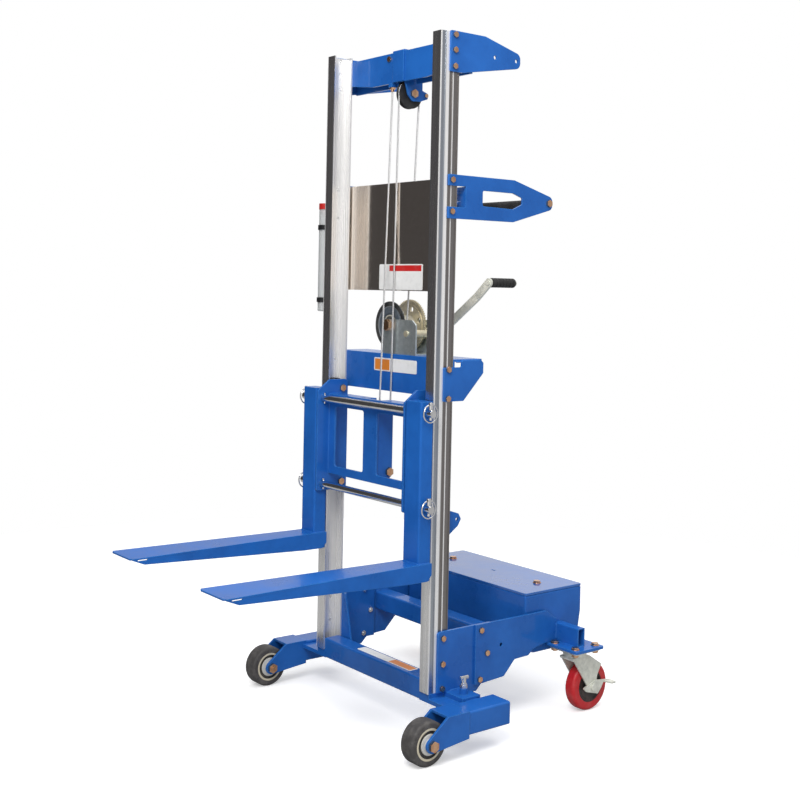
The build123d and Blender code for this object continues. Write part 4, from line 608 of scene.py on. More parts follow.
@dataclass(frozen=True)
class RopeFinish(Finish):
    """Galvanised wire: grey zinc, with painted shade between the strands."""

    shade: Colour = (0.20, 0.20, 0.21)
    metallic: float = 0.85
    patch_scale: float = 70.0
    grain_scale: float = 2500.0
    depth: float = 0.04 * MM
    gloss_worst: float = 1.4

    def lay(self, graph: Graph, shader: bpy.types.Node) -> None:
        """Paint shade between the strands by the crown attribute and break the gloss up finely.

        Args:
            graph: node tree of the material.
            shader: the shader that the nodes feed.
        """
        shader.inputs["Metallic"].default_value = self.metallic
        sizes = {"Patch Scale": self.patch_scale, "Grain Scale": self.grain_scale}
        clouds = graph.group(EFFECTS.clouds, sizes)
        crown = graph.node("ShaderNodeAttribute", attribute_name="crown").outputs["Fac"]
        # Painted shade: the colour falls to the shade colour away from the strands' crowns.
        colour = graph.mix(crown, self.shade, self.colour)
        worst = self.roughness * self.gloss_worst
        gloss = graph.span(clouds.outputs["Patches"], *GLOSS_RANGE, self.roughness, worst)
        normal = self.bump(graph, clouds.outputs["Grain"], self.depth)
        self.feed(graph, shader, Base_Color=colour, Roughness=gloss, Normal=normal)


BLUE = PaintFinish("blue_powder_coat", (0.018, 0.138, 0.51), 0.30)
COVER_BLUE = PaintFinish("blue_cover_coat", (0.018, 0.138, 0.51), 0.30, coat=1.0, coat_ior=1.6)
FORK_BLUE = PaintFinish("blue_fork_coat", (0.016, 0.138, 0.52), 0.30, coat=0.2)
# Painted reflection stripes on the columns' outer sides: white keeps the metal bright, bluish and brown
# darken it.
PAINTED_BRIGHT_REFLECTION: Colour = PURE_WHITE
PAINTED_BLUE_REFLECTION: Colour = (0.50, 0.54, 0.60)
PAINTED_DARK_REFLECTION: Colour = (0.34, 0.32, 0.31)
ALUMINIUM = ColumnFinish(
    "drawn_aluminium",
    (0.91, 0.905, 0.90),
    0.26,
    tint=(0.78, 0.775, 0.77),
    pattern=Pattern.DRAWN,
    painted_reflection_bands=(
        (0.00, PAINTED_BRIGHT_REFLECTION),
        (0.06, PAINTED_BRIGHT_REFLECTION),
        (0.10, PAINTED_BLUE_REFLECTION),
        (0.25, PAINTED_BLUE_REFLECTION),
        (0.30, PAINTED_BRIGHT_REFLECTION),
        (0.46, PAINTED_BRIGHT_REFLECTION),
        (0.52, PAINTED_DARK_REFLECTION),
        (0.63, PAINTED_DARK_REFLECTION),
        (0.66, PAINTED_BRIGHT_REFLECTION),
        (0.70, PAINTED_BRIGHT_REFLECTION),
        (0.73, PAINTED_DARK_REFLECTION),
        (0.98, PAINTED_DARK_REFLECTION),
    ),
)
POLISHED = MetalFinish("polished_sheet", (0.95, 0.86, 0.77), 0.10, tint=(0.91, 0.82, 0.73))
ZINC = MetalFinish(
    "zinc_plate", (0.72, 0.78, 0.79), 0.34, tint=(0.54, 0.60, 0.60), depth=0.02 * MM, metallic=0.85
)
YELLOW_ZINC = BoltFinish("yellow_zinc", (0.84, 0.54, 0.34), 0.22, tint=(0.62, 0.32, 0.17))
PALE_ZINC = MetalFinish(
    "pale_zinc", (0.84, 0.85, 0.77), 0.38, tint=(0.66, 0.68, 0.61), depth=0.02 * MM, metallic=0.4
)
GEAR_ZINC = MetalFinish("gear_zinc", (0.88, 0.79, 0.58), 0.36, tint=(0.66, 0.60, 0.44), metallic=0.7)
CHROME = MetalFinish("bright_plate", (0.82, 0.82, 0.81), 0.14, tint=(0.70, 0.70, 0.70))
ROPE = RopeFinish("galvanised_rope", (0.86, 0.86, 0.86), 0.38)
BLACK_STEEL = PaintFinish(
    "black_enamel",
    (0.018, 0.018, 0.02),
    0.28,
    # Painted highlight: the edges go lighter grey.
    edge=(0.12, 0.12, 0.12),
    shade=(0.012, 0.012, 0.013),
)
BLACK_RUBBER = MouldedFinish("black_grip", (0.014, 0.014, 0.014), 0.62, dust=(0.09, 0.09, 0.09))
GREY_TYRE = MouldedFinish(
    "grey_tyre", (0.062, 0.058, 0.058), 0.66, dust=(0.22, 0.21, 0.20), dust_share=0.45, grain_scale=450.0
)
SHEAVE = MouldedFinish("black_sheave", (0.016, 0.016, 0.017), 0.5, dust=(0.10, 0.10, 0.10))
CAP = MouldedFinish("red_cap", (0.52, 0.016, 0.012), 0.36, dust=(0.75, 0.35, 0.30), dust_share=0.12)
TUBE = MouldedFinish(
    "clear_tube", (0.88, 0.90, 0.91), 0.22, dust=(0.95, 0.95, 0.95), dust_share=0.3, transmission=0.55
)
DRUM = WheelFinish(
    "winch_drum",
    (0.055, 0.058, 0.056),
    0.32,
    dust=(0.30, 0.30, 0.28),
    node="winch_drum",
    axle=Axis.Y,
    rings=(
        (23.0 * MM, (0.50, 0.48, 0.40)),
        (26.0 * MM, (0.075, 0.095, 0.12)),
        # Painted highlight: the grey ring on the flange's rim.
        (46.0 * MM, (0.22, 0.24, 0.26)),
        (49.0 * MM, (0.02, 0.021, 0.022)),
    ),
)
HUB = WheelFinish(
    "front_hub",
    (0.66, 0.65, 0.61),
    0.45,
    dust=(0.30, 0.27, 0.22),
    node="front_tyre_right",
    rings=((24.5 * MM, (0.025, 0.024, 0.022)), (31.8 * MM, (0.68, 0.62, 0.47))),
)
CASTER = WheelFinish(
    "caster_wheel",
    (0.016, 0.016, 0.016),
    0.42,
    dust=(0.55, 0.30, 0.27),
    dust_share=0.14,
    node="caster_wheel_right",
    rings=((41.8 * MM, (0.56, 0.012, 0.018)),),
)
WHITE: Colour = (0.88, 0.88, 0.87)
ORANGE: Colour = (0.78, 0.24, 0.03)
RED: Colour = (0.62, 0.02, 0.02)
PLATE_GLOSS = 0.34
PLATE_DUST = 0.2
PANEL_PLATE = PlateFinish(
    "panel_plate",
    WHITE,
    PLATE_GLOSS,
    dust_share=PLATE_DUST,
    accent=RED,
    spans=((Axis.X, -28 * MM, 103 * MM), (Axis.Z, 1127 * MM, 1142 * MM)),
)
SUPPORT_PLATE = PlateFinish(
    "support_plate",
    WHITE,
    PLATE_GLOSS,
    dust_share=PLATE_DUST,
    accent=ORANGE,
    spans=((Axis.X, -76 * MM, -14 * MM), (Axis.Z, 871 * MM, 899 * MM)),
)
TUBE_PLATE = PlateFinish(
    "tube_plate",
    WHITE,
    PLATE_GLOSS,
    dust_share=PLATE_DUST,
    accent=ORANGE,
    spans=((Axis.X, 54 * MM, 140 * MM), (Axis.Y, 37 * MM, 61 * MM)),
)

BY_SLOT: dict[str, Finish] = {
    "blue_paint": BLUE,
    "aluminium_profile": ALUMINIUM,
    "polished_sheet": POLISHED,
    "zinc_plate": ZINC,
    "yellow_zinc": YELLOW_ZINC,
    "bright_steel": CHROME,
    "steel_rope": ROPE,
    "black_steel": BLACK_STEEL,
    "black_rubber": BLACK_RUBBER,
    "grey_tyre": GREY_TYRE,
    "cream_hub": HUB,
    "red_wheel": CASTER,
    "clear_tube": TUBE,
    "red_cap": CAP,
    "black_sheave": SHEAVE,
}
BY_NODE: dict[str, Finish] = {
    "drum_gear": GEAR_ZINC,
    "ratchet_pawl": GEAR_ZINC,
    "pinion_shaft": GEAR_ZINC,
    "crank_arm": PALE_ZINC,
    "caster_fork_left": PALE_ZINC,
    "caster_fork_right": PALE_ZINC,
    "brake_pedal_left": PALE_ZINC,
    "brake_pedal_right": PALE_ZINC,
    "winch_drum": DRUM,
    "weight_cover": COVER_BLUE,
    "fork_left": FORK_BLUE,
    "fork_right": FORK_BLUE,
}


class Surface:
    """Meshes from whole arrays of points."""

    @staticmethod
    def faces(rows: int, columns: int, looped: bool = False) -> np.ndarray:
        """Return the quads of a grid whose columns close on themselves.

        Args:
            rows: rings of points.
            columns: points in each ring.
            looped: whether the last ring joins the first.

        Returns:
            Four point numbers for each quad.
        """
        row, column = np.meshgrid(
            np.arange(rows if looped else rows - 1), np.arange(columns), indexing="ij"
        )
        ahead = (column + 1) % columns
        above = (row + 1) % rows
        corners = (row * columns + column, row * columns + ahead)
        beyond = (above * columns + ahead, above * columns + column)
        return np.stack([*corners, *beyond], axis=-1).reshape(-1, 4)

    @classmethod
    def tube(cls, grid: np.ndarray) -> tuple[np.ndarray, list[list[int]]]:
        """Return the points and faces of a closed tube, with its two ends capped.

        Args:
            grid: rings of points along the tube.

        Returns:
            The points in one row, and the point numbers of each face.
        """
        rows, columns = grid.shape[:2]
        faces = cls.faces(rows, columns).tolist()
        faces.append(list(range(columns))[::-1])
        faces.append(list(range((rows - 1) * columns, rows * columns)))
        return grid.reshape(-1, 3), faces

    @staticmethod
    def join(parts: list[tuple[np.ndarray, list[list[int]]]]) -> tuple[np.ndarray, list[list[int]]]:
        """Return several sets of points and faces as one.

        Args:
            parts: points and faces of each set.

        Returns:
            All points in one row, and the point numbers of each face.
        """
        points: list[np.ndarray] = []
        faces: list[list[int]] = []
        count = 0
        for place, corners in parts:
            faces += [[number + count for number in corner] for corner in corners]
            points.append(place)
            count += len(place)
        return np.concatenate(points), faces

    @staticmethod
    def piece(
        name: str,
        points: np.ndarray,
        faces: list[list[int]],
        finish: Finish,
        slot: str,
        smooth: bool = True,
    ) -> bpy.types.Object:
        """Put points and faces into a new object.

        Args:
            name: name of the object.
            points: places in the row frame, in metres.
            faces: point numbers of each face.
            finish: what the surface is dressed in.
            slot: the record's material slot; not used.
            smooth: whether faces are shaded smoothly.

        Returns:
            The new object, at the origin.
        """
        mesh = bpy.data.meshes.new(name)
        mesh.from_pydata(points.tolist(), [], faces)
        mesh.polygons.foreach_set("use_smooth", np.full(len(mesh.polygons), smooth))
        mesh.update()
        made = bpy.data.objects.new(name, mesh)
        bpy.context.scene.collection.objects.link(made)
        made.data.materials.append(finish.material())
        LOG.info("%s: %d points", name, len(points))
        return made


@dataclass
class HoistRope:
    """Six-strand wire rope from the drum over the top sheave, round the carriage and up to its anchor."""

    radius: float = 2.4 * MM
    strands: int = 6
    per_strand: int = 4
    lay: float = 30.0 * MM
    step: float = 1.8 * MM
    least_arc: int = 8
    wraps: int = 5
    per_wrap: int = 110
    wrap_pitch: float = 5.6 * MM
    wound_radius: float = 27.95 * MM
    top_radius: float = 33.0 * MM
    low_radius: float = 18.7 * MM
    rope_end: float = 1.590
    end_side: float = -31.0 * MM
    end_behind: float = 4.0 * MM
    first_turn: float = 14.75 * MM

    def __post_init__(self) -> None:
        """Read the wheels' places from the model."""
        self.top = self._middle("top_sheave")
        self.low = self._middle("carriage_sheave")
        self.drum = self._middle("winch_drum")
        column_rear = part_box("column_right")[1].y
        self.leave_y = column_rear + self.first_turn + self.wraps * self.wrap_pitch
        self.anchor = np.array([self.end_side, column_rear + self.end_behind, self.rope_end])

    @staticmethod
    def _middle(node: str) -> np.ndarray:
        """Return the middle of a node's box."""
        low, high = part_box(node)
        return np.array((low + high) / 2)

    @staticmethod
    def touch(first: np.ndarray, first_reach: float, second: np.ndarray, second_reach: float) -> tuple:
        """Return where a straight run leaves one circle and meets another, in the YZ plane.

        Args:
            first: centre of the first circle.
            first_reach: its radius, positive where it lies to the left of the run.
            second: centre of the second circle.
            second_reach: its radius, with the same sign rule.

        Returns:
            The two touching points, each at X = 0.
        """
        dy, dz = second[1] - first[1], second[2] - first[2]
        angle = math.atan2(dz, dy) - math.asin((second_reach - first_reach) / math.hypot(dy, dz))
        left = np.array([0.0, -math.sin(angle), math.cos(angle)])
        start = np.array([0.0, first[1], first[2]]) - first_reach * left
        end = np.array([0.0, second[1], second[2]]) - second_reach * left
        return start, end

    def line(self, start: np.ndarray, end: np.ndarray) -> np.ndarray:
        """Return points evenly along a straight run.

        Args:
            start: first point.
            end: last point.

        Returns:
            The points in order.
        """
        count = max(2, round(float(np.linalg.norm(end - start)) / self.step))
        share = np.linspace(0.0, 1.0, count)[:, None]
        return start + (end - start) * share

    def arc(self, middle: np.ndarray, start: np.ndarray, end: np.ndarray, turn: int) -> np.ndarray:
        """Return points on a circle in the YZ plane from start to end.

        Args:
            middle: centre of the circle.
            start: first point.
            end: last point.
            turn: 1 for a growing angle from Y towards Z, -1 for a falling one.

        Returns:
            The points in order.
        """
        first = math.atan2(start[2] - middle[2], start[1] - middle[1])
        last = math.atan2(end[2] - middle[2], end[1] - middle[1])
        sweep = turn * ((turn * (last - first)) % (2 * math.pi))
        radius = math.hypot(start[1] - middle[1], start[2] - middle[2])
        angle = first + np.linspace(0.0, sweep, max(self.least_arc, round(abs(sweep) * radius / self.step)))
        share = np.linspace(0.0, 1.0, len(angle))
        side = start[0] + (end[0] - start[0]) * share
        behind = middle[1] + radius * np.cos(angle)
        height = middle[2] + radius * np.sin(angle)
        return np.stack([side, behind, height], axis=-1)

    def strand_tube(self, path: np.ndarray, across: Point) -> tuple[np.ndarray, np.ndarray]:
        """Carry the strands' outline along a path, turning once in each lay length.

        The outline's radius at an angle a from a strand's crown is d cos a + sqrt(s^2 - d^2 sin^2 a),
        with strand radius s a third of the rope's and d twice that.

        Args:
            path: centre line.
            across: a direction that the path never follows.

        Returns:
            The grid of points, and how near each lies to a strand's crown, from 0 to 1.
        """
        way = np.gradient(path, axis=0)
        way /= np.linalg.norm(way, axis=1, keepdims=True)
        side = np.cross(way, np.array(across, float))
        side /= np.linalg.norm(side, axis=1, keepdims=True)
        other = np.cross(way, side)
        steps = np.linalg.norm(np.diff(path, axis=0), axis=1)
        run = np.concatenate([[0.0], np.cumsum(steps)])
        count = self.strands * self.per_strand
        angle = 2 * np.pi * np.arange(count) / count
        off = (np.arange(count) % self.per_strand) / self.per_strand - 0.5
        lean = off * 2 * np.pi / self.strands
        small = self.radius / 3
        inner = np.sqrt(np.maximum(small**2 - (2 * small * np.sin(lean)) ** 2, 0.0))
        reach = 2 * small * np.cos(lean) + inner
        turned = angle[None, :] + 2 * np.pi * run[:, None] / self.lay
        ring = np.cos(turned)[..., None] * side[:, None, :] + np.sin(turned)[..., None] * other[:, None, :]
        crown = np.tile((reach - reach.min()) / (reach.max() - reach.min()), (len(path), 1))
        return path[:, None, :] + reach[None, :, None] * ring, crown

    def make(self, name: str, path: np.ndarray, across: Point) -> bpy.types.Object:
        """Make one stretch of rope with its crown attribute.

        Args:
            name: name of the piece.
            path: centre line.
            across: a direction that the path never follows.

        Returns:
            The new piece.
        """
        grid, crown = self.strand_tube(path, across)
        points, faces = Surface.tube(grid)
        made = Surface.piece(name, points, faces, ROPE, "steel_rope")
        # The crown attribute feeds the painted shade between the strands.
        depth = made.data.attributes.new("crown", "FLOAT", "POINT")
        depth.data.foreach_set("value", crown.ravel().astype(np.float32))
        return made

    def build(self) -> None:
        """Make the winding, the rear run, both falls and the loop under the carriage."""
        turns = np.linspace(-self.wraps, 0.0, self.wraps * self.per_wrap)
        angle = 2 * np.pi * turns
        coil = np.stack(
            [
                self.drum[0] + self.wound_radius * np.cos(angle),
                self.leave_y + turns * self.wrap_pitch,
                self.drum[2] + self.wound_radius * np.sin(angle),
            ],
            axis=-1,
        )
        foot = np.array([0.0, self.leave_y, self.drum[2]])
        leave = self.touch(foot, 0.0, self.top, self.top_radius)[1]
        over, low = self.touch(self.top, self.top_radius, self.low, -self.low_radius)
        rise = self.touch(self.low, -self.low_radius, self.anchor, 0.0)[0]
        over_top = self.arc(self.top, leave, over, 1)
        loop = self.arc(self.low, low, rise, -1)
        winding = self.make("rope_winding", coil, ALONG_Y)
        rear_path = np.concatenate([self.line(foot, leave), over_top[1:]])
        run = self.make("rope_rear_run", rear_path, ALONG_X)
        bend = self.make("rope_carriage_loop", loop, ALONG_X)
        front = self.make("rope_front_fall", self.line(over, low), ALONG_X)
        back = self.make("rope_anchor_fall", self.line(self.anchor, rise), ALONG_X)
        for made in (winding, run):
            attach(made, Body.FRAME.value)
            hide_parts("hoist_cable_winch")
        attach(bend, Body.CARRIAGE.value)
        for made, start, end in ((front, over, low), (back, self.anchor, rise)):
            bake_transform(made)
        for made in (bend, front, back):
            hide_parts("hoist_cable_falls")


def from_column(points: list[Point]) -> np.ndarray:
    """Return places in mm, with Y from the front of the columns, in the row frame."""
    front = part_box("column_right")[0].y
    return np.array(points, float) * MM + np.array([0.0, front, 0.0])


@dataclass(frozen=True)
class Seam:
    """One straight weld on the right: its ends, in mm, and the way that it faces."""

    start: Point
    end: Point
    facing: Point
    radius: float = 2.6

    def mirrored(self) -> "Seam":
        """Return the same weld on the left."""
        flipped = [(-x, y, z) for x, y, z in (self.start, self.end, self.facing)]
        return Seam(*flipped, self.radius)


CARRIAGE_SEAMS = (
    Seam((190, -49, 432), (248, -49, 432), (0, -1, 1)),
    Seam((249, -47, 432), (249, -12, 432), (1, 0, 1)),
    Seam((189, -47, 432), (189, -12, 432), (-1, 0, 1)),
    Seam((181, -12, 594), (181, -12, 796), (-1, -1, 0)),
    Seam((25, -7, 598), (25, -7, 792), (1, 1, 0)),
    Seam((181, -10, 800), (181, 28, 800), (-1, 0, 1)),
)
FRAME_SEAMS = (
    Seam((236, 60, 1688.5), (236, 98, 1688.5), (-1, 0, 1)),
    Seam((236, 100, 1612), (236, 100, 1684), (-1, 1, 0)),
    Seam((236, 84, 911), (236, 144, 911), (1, 0, 1), 2.0),
    Seam((236, 66, 908), (236, 146, 908), (-1, 0, -1)),
    Seam((250, 420, 176), (324, 420, 176), (0, -1, 1)),
    Seam((244, 445, 176), (324, 445, 176), (0, 1, 1)),
    Seam((325, 422, 176), (325, 443, 176), (1, 0, 1)),
    Seam((248, 420, 180), (248, 420, 222), (1, -1, 0)),
    Seam((242, 203, 233), (242, 246, 233), (-1, 0, 1)),
    Seam((242, 200, 188), (242, 200, 229), (-1, -1, 0)),
    Seam((242, 249, 188), (242, 249, 229), (-1, 1, 0)),
    Seam((309, 14, 107), (370, 14, 107), (0, 1, 1), 2.0),
    Seam((371, 14, 54), (371, 14, 104), (1, 1, 0), 2.0),
    Seam((242, 62, 112), (242, 104, 112), (1, 0, 1)),
)


@dataclass
class Welds:
    """Rippled beads in the corners where plates and tubes meet."""

    ripple: float = 3.4 * MM
    ripple_depth: float = 0.16
    end_share: float = 0.05
    least_rings: int = 8
    taper: float = 4.0 * MM
    step: float = 0.9 * MM
    around: int = 10

    def bead(self, seam: Seam) -> tuple[np.ndarray, list[list[int]]]:
        """Carry a circle along a seam.

        At a distance s from the start its radius is r (1 - d + d |cos(pi s / p)|), with d a ripple's
        depth and p its length, and at both ends it falls away along a quarter circle.

        Args:
            seam: where the bead lies.

        Returns:
            The points and faces of the closed bead.
        """
        start, end = from_column([seam.start, seam.end])
        length = float(np.linalg.norm(end - start))
        run = np.linspace(0.0, length, max(self.least_rings, round(length / self.step)))
        way = (end - start) / length
        facing = np.array(seam.facing, float)
        facing /= np.linalg.norm(facing)
        side = np.cross(way, facing)
        near = np.minimum(np.minimum(run, length - run) / self.taper, 1.0)
        swell = np.maximum(np.sqrt(1.0 - (1.0 - near) ** 2), self.end_share)
        wave = self.ripple_depth * (np.abs(np.cos(np.pi * run / self.ripple)) - 1.0)
        reach = seam.radius * MM * swell * (1.0 + wave)
        angle = 2 * np.pi * np.arange(self.around) / self.around
        ring = np.cos(angle)[:, None] * facing + np.sin(angle)[:, None] * side
        grid = start + run[:, None, None] * way + reach[:, None, None] * ring
        return Surface.tube(grid)

    def build(self) -> None:
        """Lay the beads of the frame and of the carriage, on both sides."""
        for name, body, seams in (
            ("frame_welds", Body.FRAME, FRAME_SEAMS),
            ("carriage_welds", Body.CARRIAGE, CARRIAGE_SEAMS),
        ):
            both = [*seams, *(seam.mirrored() for seam in seams)]
            points, faces = Surface.join([self.bead(seam) for seam in both])
            made = Surface.piece(name, points, faces, BLUE, "blue_paint")
            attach(made, body.value)


# Seats of the washers on the right, in mm: one on the cover and four on the caster's plate
COVER_SEAT: Point = (170, 424, 310.6)
CASTER_SEAT: Point = (295.5, 441, 176)
CASTER_SPREAD = 36.0


@dataclass
class Washers:
    """Plain washers under the heads of the cover's screws and the casters' bolts."""

    inner: float = 5.0 * MM
    spread: float = 2.25
    thick: float = 1.3 * MM
    chamfer: float = 0.35 * MM
    around: int = 28

    def seats(self) -> np.ndarray:
        """Return the middles of all seats, those on the left beside those on the right.

        Returns:
            One place in the row frame for each washer.
        """
        x, y, z = CASTER_SEAT
        spans = (-CASTER_SPREAD, CASTER_SPREAD)
        right = [COVER_SEAT, *((x + across, y + along, z) for across in spans for along in spans)]
        return from_column([(side * x, y, z) for x, y, z in right for side in (-1, 1)])

    def ring(self, place: np.ndarray) -> tuple[np.ndarray, list[list[int]]]:
        """Turn a flat outline with one broken edge about a vertical axis.

        Args:
            place: middle of the washer's seat.

        Returns:
            The points and faces of the closed ring.
        """
        outer = self.inner * self.spread
        rise = self.thick - self.chamfer
        reach = np.array([outer - self.chamfer, outer, outer, self.inner, self.inner])
        height = np.array([self.thick, rise, 0.0, 0.0, self.thick])
        angle = 2 * np.pi * np.arange(self.around) / self.around
        spoke = np.stack([np.cos(angle), np.sin(angle), np.zeros(self.around)], axis=-1)
        lift = height[:, None] * np.array([0.0, 0.0, 1.0])
        grid = place + reach[None, :, None] * spoke[:, None, :] + lift
        return grid.reshape(-1, 3), Surface.faces(self.around, len(reach), looped=True).tolist()

    def build(self) -> None:
        """Lay every washer."""
        points, faces = Surface.join([self.ring(place) for place in self.seats()])
        made = Surface.piece("bolt_washers", points, faces, YELLOW_ZINC, "yellow_zinc", smooth=False)
        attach(made, Body.FRAME.value)


@dataclass(frozen=True)
class BlankPlate:
    """One blank plate: its lowest corner and size, in mm, the way of its height, its finish and slot."""

    name: str
    corner: Point
    size: tuple[float, float]
    upward: Point
    finish: Finish
    slot: str


BLANK_PLATES = (
    BlankPlate("panel_plate", (-71, 62, 1079), (179, 66), (0, 0, 1), PANEL_PLATE, "polished_sheet"),
    BlankPlate("support_plate", (-80, 58, 868), (177, 34), (0, 0, 1), SUPPORT_PLATE, "blue_paint"),
    BlankPlate("tube_plate", (-77, 17, 142), (221, 29), (0, 1, 0), TUBE_PLATE, "blue_paint"),
)


@dataclass
class Plates:
    """Blank two-tone plates where the lift carries its labels."""

    thick: float = 0.6 * MM
    shoulder: float = 0.6
    corner: float = 4.0 * MM
    per_corner: int = 6

    def outline(self, width: float, height: float) -> np.ndarray:
        """Return a rectangle with round corners, counterclockwise, in two coordinates.

        Args:
            width: its size across, in metres.
            height: its size upwards, in metres.

        Returns:
            The points in order, measured from the rectangle's lowest corner.
        """
        quarter = np.linspace(0.0, np.pi / 2, self.per_corner)
        starts = np.pi / 2 * np.arange(4)
        angle = (starts[:, None] + quarter).ravel()
        right = np.repeat([1.0, 0.0, 0.0, 1.0], self.per_corner)
        top = np.repeat([1.0, 1.0, 0.0, 0.0], self.per_corner)
        across = self.corner + right * (width - 2 * self.corner) + self.corner * np.cos(angle)
        up = self.corner + top * (height - 2 * self.corner) + self.corner * np.sin(angle)
        return np.stack([across, up], axis=-1)

    def build(self) -> None:
        """Lift each outline off its seat and close it."""
        for plate in BLANK_PLATES:
            width, height = (value * MM for value in plate.size)
            flat = self.outline(width, height)
            middle = np.array([width, height]) / 2
            inset = middle + (flat - middle) * (1.0 - self.thick / height)
            across = np.array(ALONG_X)
            up = np.array(plate.upward, float)
            out = np.cross(across, up)
            rows = [
                ring @ np.stack([across, up]) + rise * out
                for ring, rise in ((flat, 0.0), (flat, self.thick * self.shoulder), (inset, self.thick))
            ]
            grid = from_column([plate.corner])[0] + np.stack(rows)
            points, faces = Surface.tube(grid)
            made = Surface.piece(plate.name, points, faces, plate.finish, plate.slot, smooth=False)
            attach(made, Body.FRAME.value)


@dataclass(frozen=True)
class Lamp:
    """One square soft light: where it hangs, where it points, its size in metres and its watts."""

    name: str
    place: Point
    aim: Point
    size: float
    power: float
    colour: Colour

    def hang(self) -> None:
        """Hang the light."""
        data = bpy.data.lights.new(self.name, "AREA")
        data.shape = "SQUARE"
        data.size = self.size
        data.energy = self.power
        data.color = self.colour
        made = bpy.data.objects.new(self.name, data)
        made.location = self.place
        made.rotation_mode = "QUATERNION"
        way = Vector(self.aim) - Vector(self.place)
        made.rotation_quaternion = way.to_track_quat("-Z", "Y")
        bpy.context.scene.collection.objects.link(made)


LAMPS = (
    Lamp("key", (1.6, -1.9, 3.0), (0.0, 0.0, 1.2), 1.4, 70.0, (1.0, 0.99, 0.97)),
    Lamp("top", (0.4, 0.4, 4.2), (0.0, 0.1, 0.0), 3.0, 50.0, PURE_WHITE),
)


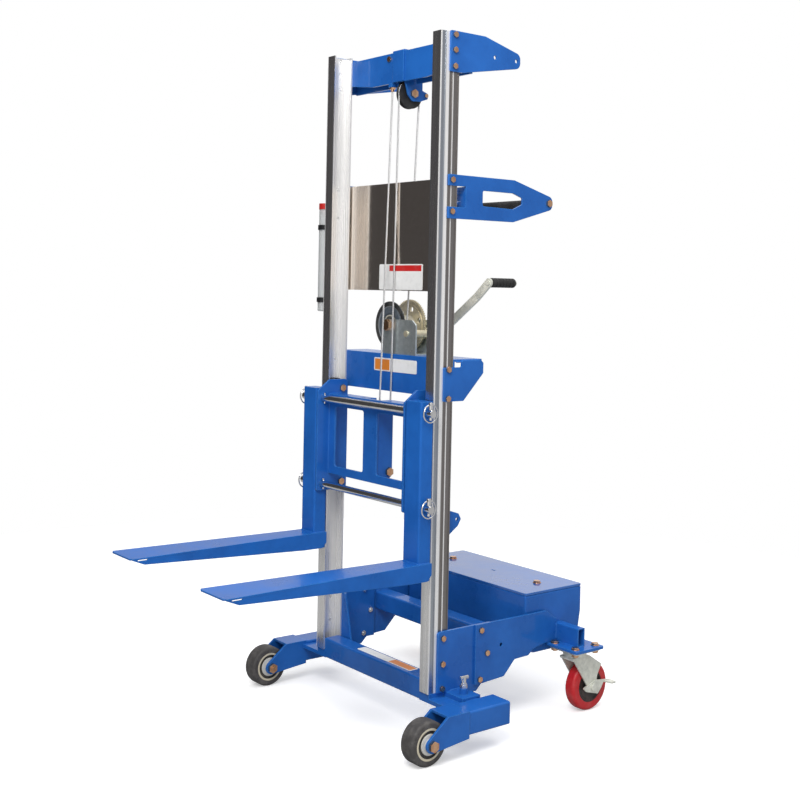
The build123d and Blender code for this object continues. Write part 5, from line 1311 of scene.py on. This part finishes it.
@dataclass(frozen=True)
class Studio:
    """Floor, light and camera of the picture."""

    azimuth: float = 51.9725
    elevation: float = 0.7701
    roll: float = -1.1876
    distance: float = 2.978854
    aim: Point = (0.084665, 0.01725, 1.040068)
    focal_pixels: float = 1200.6055
    centre_x: float = 396.7688
    shift_y: float = -0.118
    frame_pixels: float = 800.0
    sensor: float = 36.0
    floor_radius: float = 2.6
    floor_sides: int = 96
    floor_roughness: float = 0.85
    floor_specular: float = 0.1
    floor_glow: float = 0.42
    floor_pale: Colour = (0.88, 0.88, 0.88)
    floor_dim: Colour = (0.46, 0.46, 0.46)
    sky_fade: tuple[float, float] = (0.30, 0.75)
    dark_way: Point = (-0.79, -0.61, 0.05)
    dim_way: Point = (0.79, 0.61, 0.0)
    light: Colour = (0.86, 0.86, 0.86)
    dark: Colour = (0.06, 0.058, 0.06)
    dim: Colour = (0.48, 0.48, 0.49)

    def camera(self) -> None:
        """Stand the camera where the picture was taken from."""
        azimuth, elevation, roll = (math.radians(v) for v in (self.azimuth, self.elevation, self.roll))
        level = math.cos(elevation)
        way = Vector((-math.sin(azimuth) * level, math.cos(azimuth) * level, -math.sin(elevation)))
        right = way.cross(Vector((0.0, 0.0, 1.0))).normalized()
        down = way.cross(right)
        across = right * math.cos(roll) + down * math.sin(roll)
        upright = right * math.sin(roll) - down * math.cos(roll)
        turn = Matrix((across, upright, -way)).transposed()
        data = bpy.data.cameras.new("camera")
        data.sensor_width = self.sensor
        data.lens = self.focal_pixels * self.sensor / self.frame_pixels
        data.shift_x = 0.5 - self.centre_x / self.frame_pixels
        data.shift_y = self.shift_y
        made = bpy.data.objects.new("camera", data)
        made.matrix_world = Matrix.Translation(Vector(self.aim) - way * self.distance) @ turn.to_4x4()
        bpy.context.scene.collection.objects.link(made)
        bpy.context.scene.camera = made

    def floor(self) -> None:
        """Lay a round pale floor that melts into the background and is dim in what the lift mirrors."""
        angle = np.linspace(0.0, 2 * np.pi, self.floor_sides, endpoint=False)
        circle = np.stack([np.cos(angle), np.sin(angle), np.zeros(self.floor_sides)], axis=-1)
        points = circle * self.floor_radius
        mesh = bpy.data.meshes.new("floor")
        mesh.from_pydata(points.tolist(), [], [list(range(self.floor_sides))])
        made = bpy.data.objects.new("floor", mesh)
        bpy.context.scene.collection.objects.link(made)
        paper = bpy.data.materials.new("floor_paper")
        paper.use_nodes = True
        shader = paper.node_tree.nodes["Principled BSDF"]
        shader.inputs["Roughness"].default_value = self.floor_roughness
        shader.inputs["Specular IOR Level"].default_value = self.floor_specular
        shader.inputs["Emission Strength"].default_value = self.floor_glow
        graph = Graph(paper.node_tree)
        seen = graph.node("ShaderNodeLightPath").outputs["Is Camera Ray"]
        tone = graph.mix(seen, self.floor_dim, self.floor_pale)
        glow = graph.mix(seen, BLACK, PURE_WHITE)
        graph.tree.links.new(tone, shader.inputs["Base Color"])
        graph.tree.links.new(glow, shader.inputs["Emission Color"])
        mesh.materials.append(paper)
        made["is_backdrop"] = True

    def world(self) -> None:
        """Surround the lift with white light, dark towards the front left and dimmed at the rear right."""
        world = bpy.data.worlds.new("studio")
        world.use_nodes = True
        bpy.context.scene.world = world
        graph = Graph(world.node_tree)
        back = world.node_tree.nodes["Background"]
        way = graph.node("ShaderNodeTexCoord").outputs["Generated"]
        sky: object = self.light
        for middle, tone in ((self.dark_way, self.dark), (self.dim_way, self.dim)):
            sockets = {0: way, 1: tuple(Vector(middle).normalized())}
            facing = graph.node("ShaderNodeVectorMath", sockets, operation="DOT_PRODUCT").outputs["Value"]
            sky = graph.mix(graph.span(facing, *self.sky_fade, 0.0, 1.0), sky, tone)
        seen = graph.node("ShaderNodeLightPath").outputs["Is Camera Ray"]
        graph.tree.links.new(graph.mix(seen, sky, PURE_WHITE), back.inputs["Color"])

    def build(self) -> None:
        """Set up everything round the lift."""
        self.camera()
        self.floor()
        self.world()
        for lamp in LAMPS:
            lamp.hang()
        bpy.context.scene.view_settings.view_transform = "Standard"


class Lift:
    """The whole lift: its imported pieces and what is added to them."""

    def __init__(self) -> None:
        """Keep the model's own box, before anything is added."""
        self.model_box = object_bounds()
        self.rope = HoistRope()
        self.welds = Welds()
        self.washers = Washers()
        self.plates = Plates()
        self.studio = Studio()

    def dress(self) -> None:
        """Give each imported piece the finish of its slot."""
        for row in frame["record"]["subparts"]:
            node = frame["nodes"][row["node"]]
            finish = BY_NODE.get(row["node"], BY_SLOT[row["material_slot"]])
            node.data.materials.clear()
            node.data.materials.append(finish.material())
            LOG.info("%s: %s", row["node"], finish.name)

    def measure(self) -> None:
        """Update the view layer."""
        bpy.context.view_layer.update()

    def build(self) -> None:
        """Build every added piece, then the studio."""
        self.dress()
        self.rope.build()
        self.welds.build()
        self.washers.build()
        self.plates.build()
        self.studio.build()
        self.measure()


def main() -> None:
    """Build the lift and report each piece."""
    logging.basicConfig(level=logging.INFO, format="%(message)s")
    Lift().build()


if __name__ == "__main__":
    main()
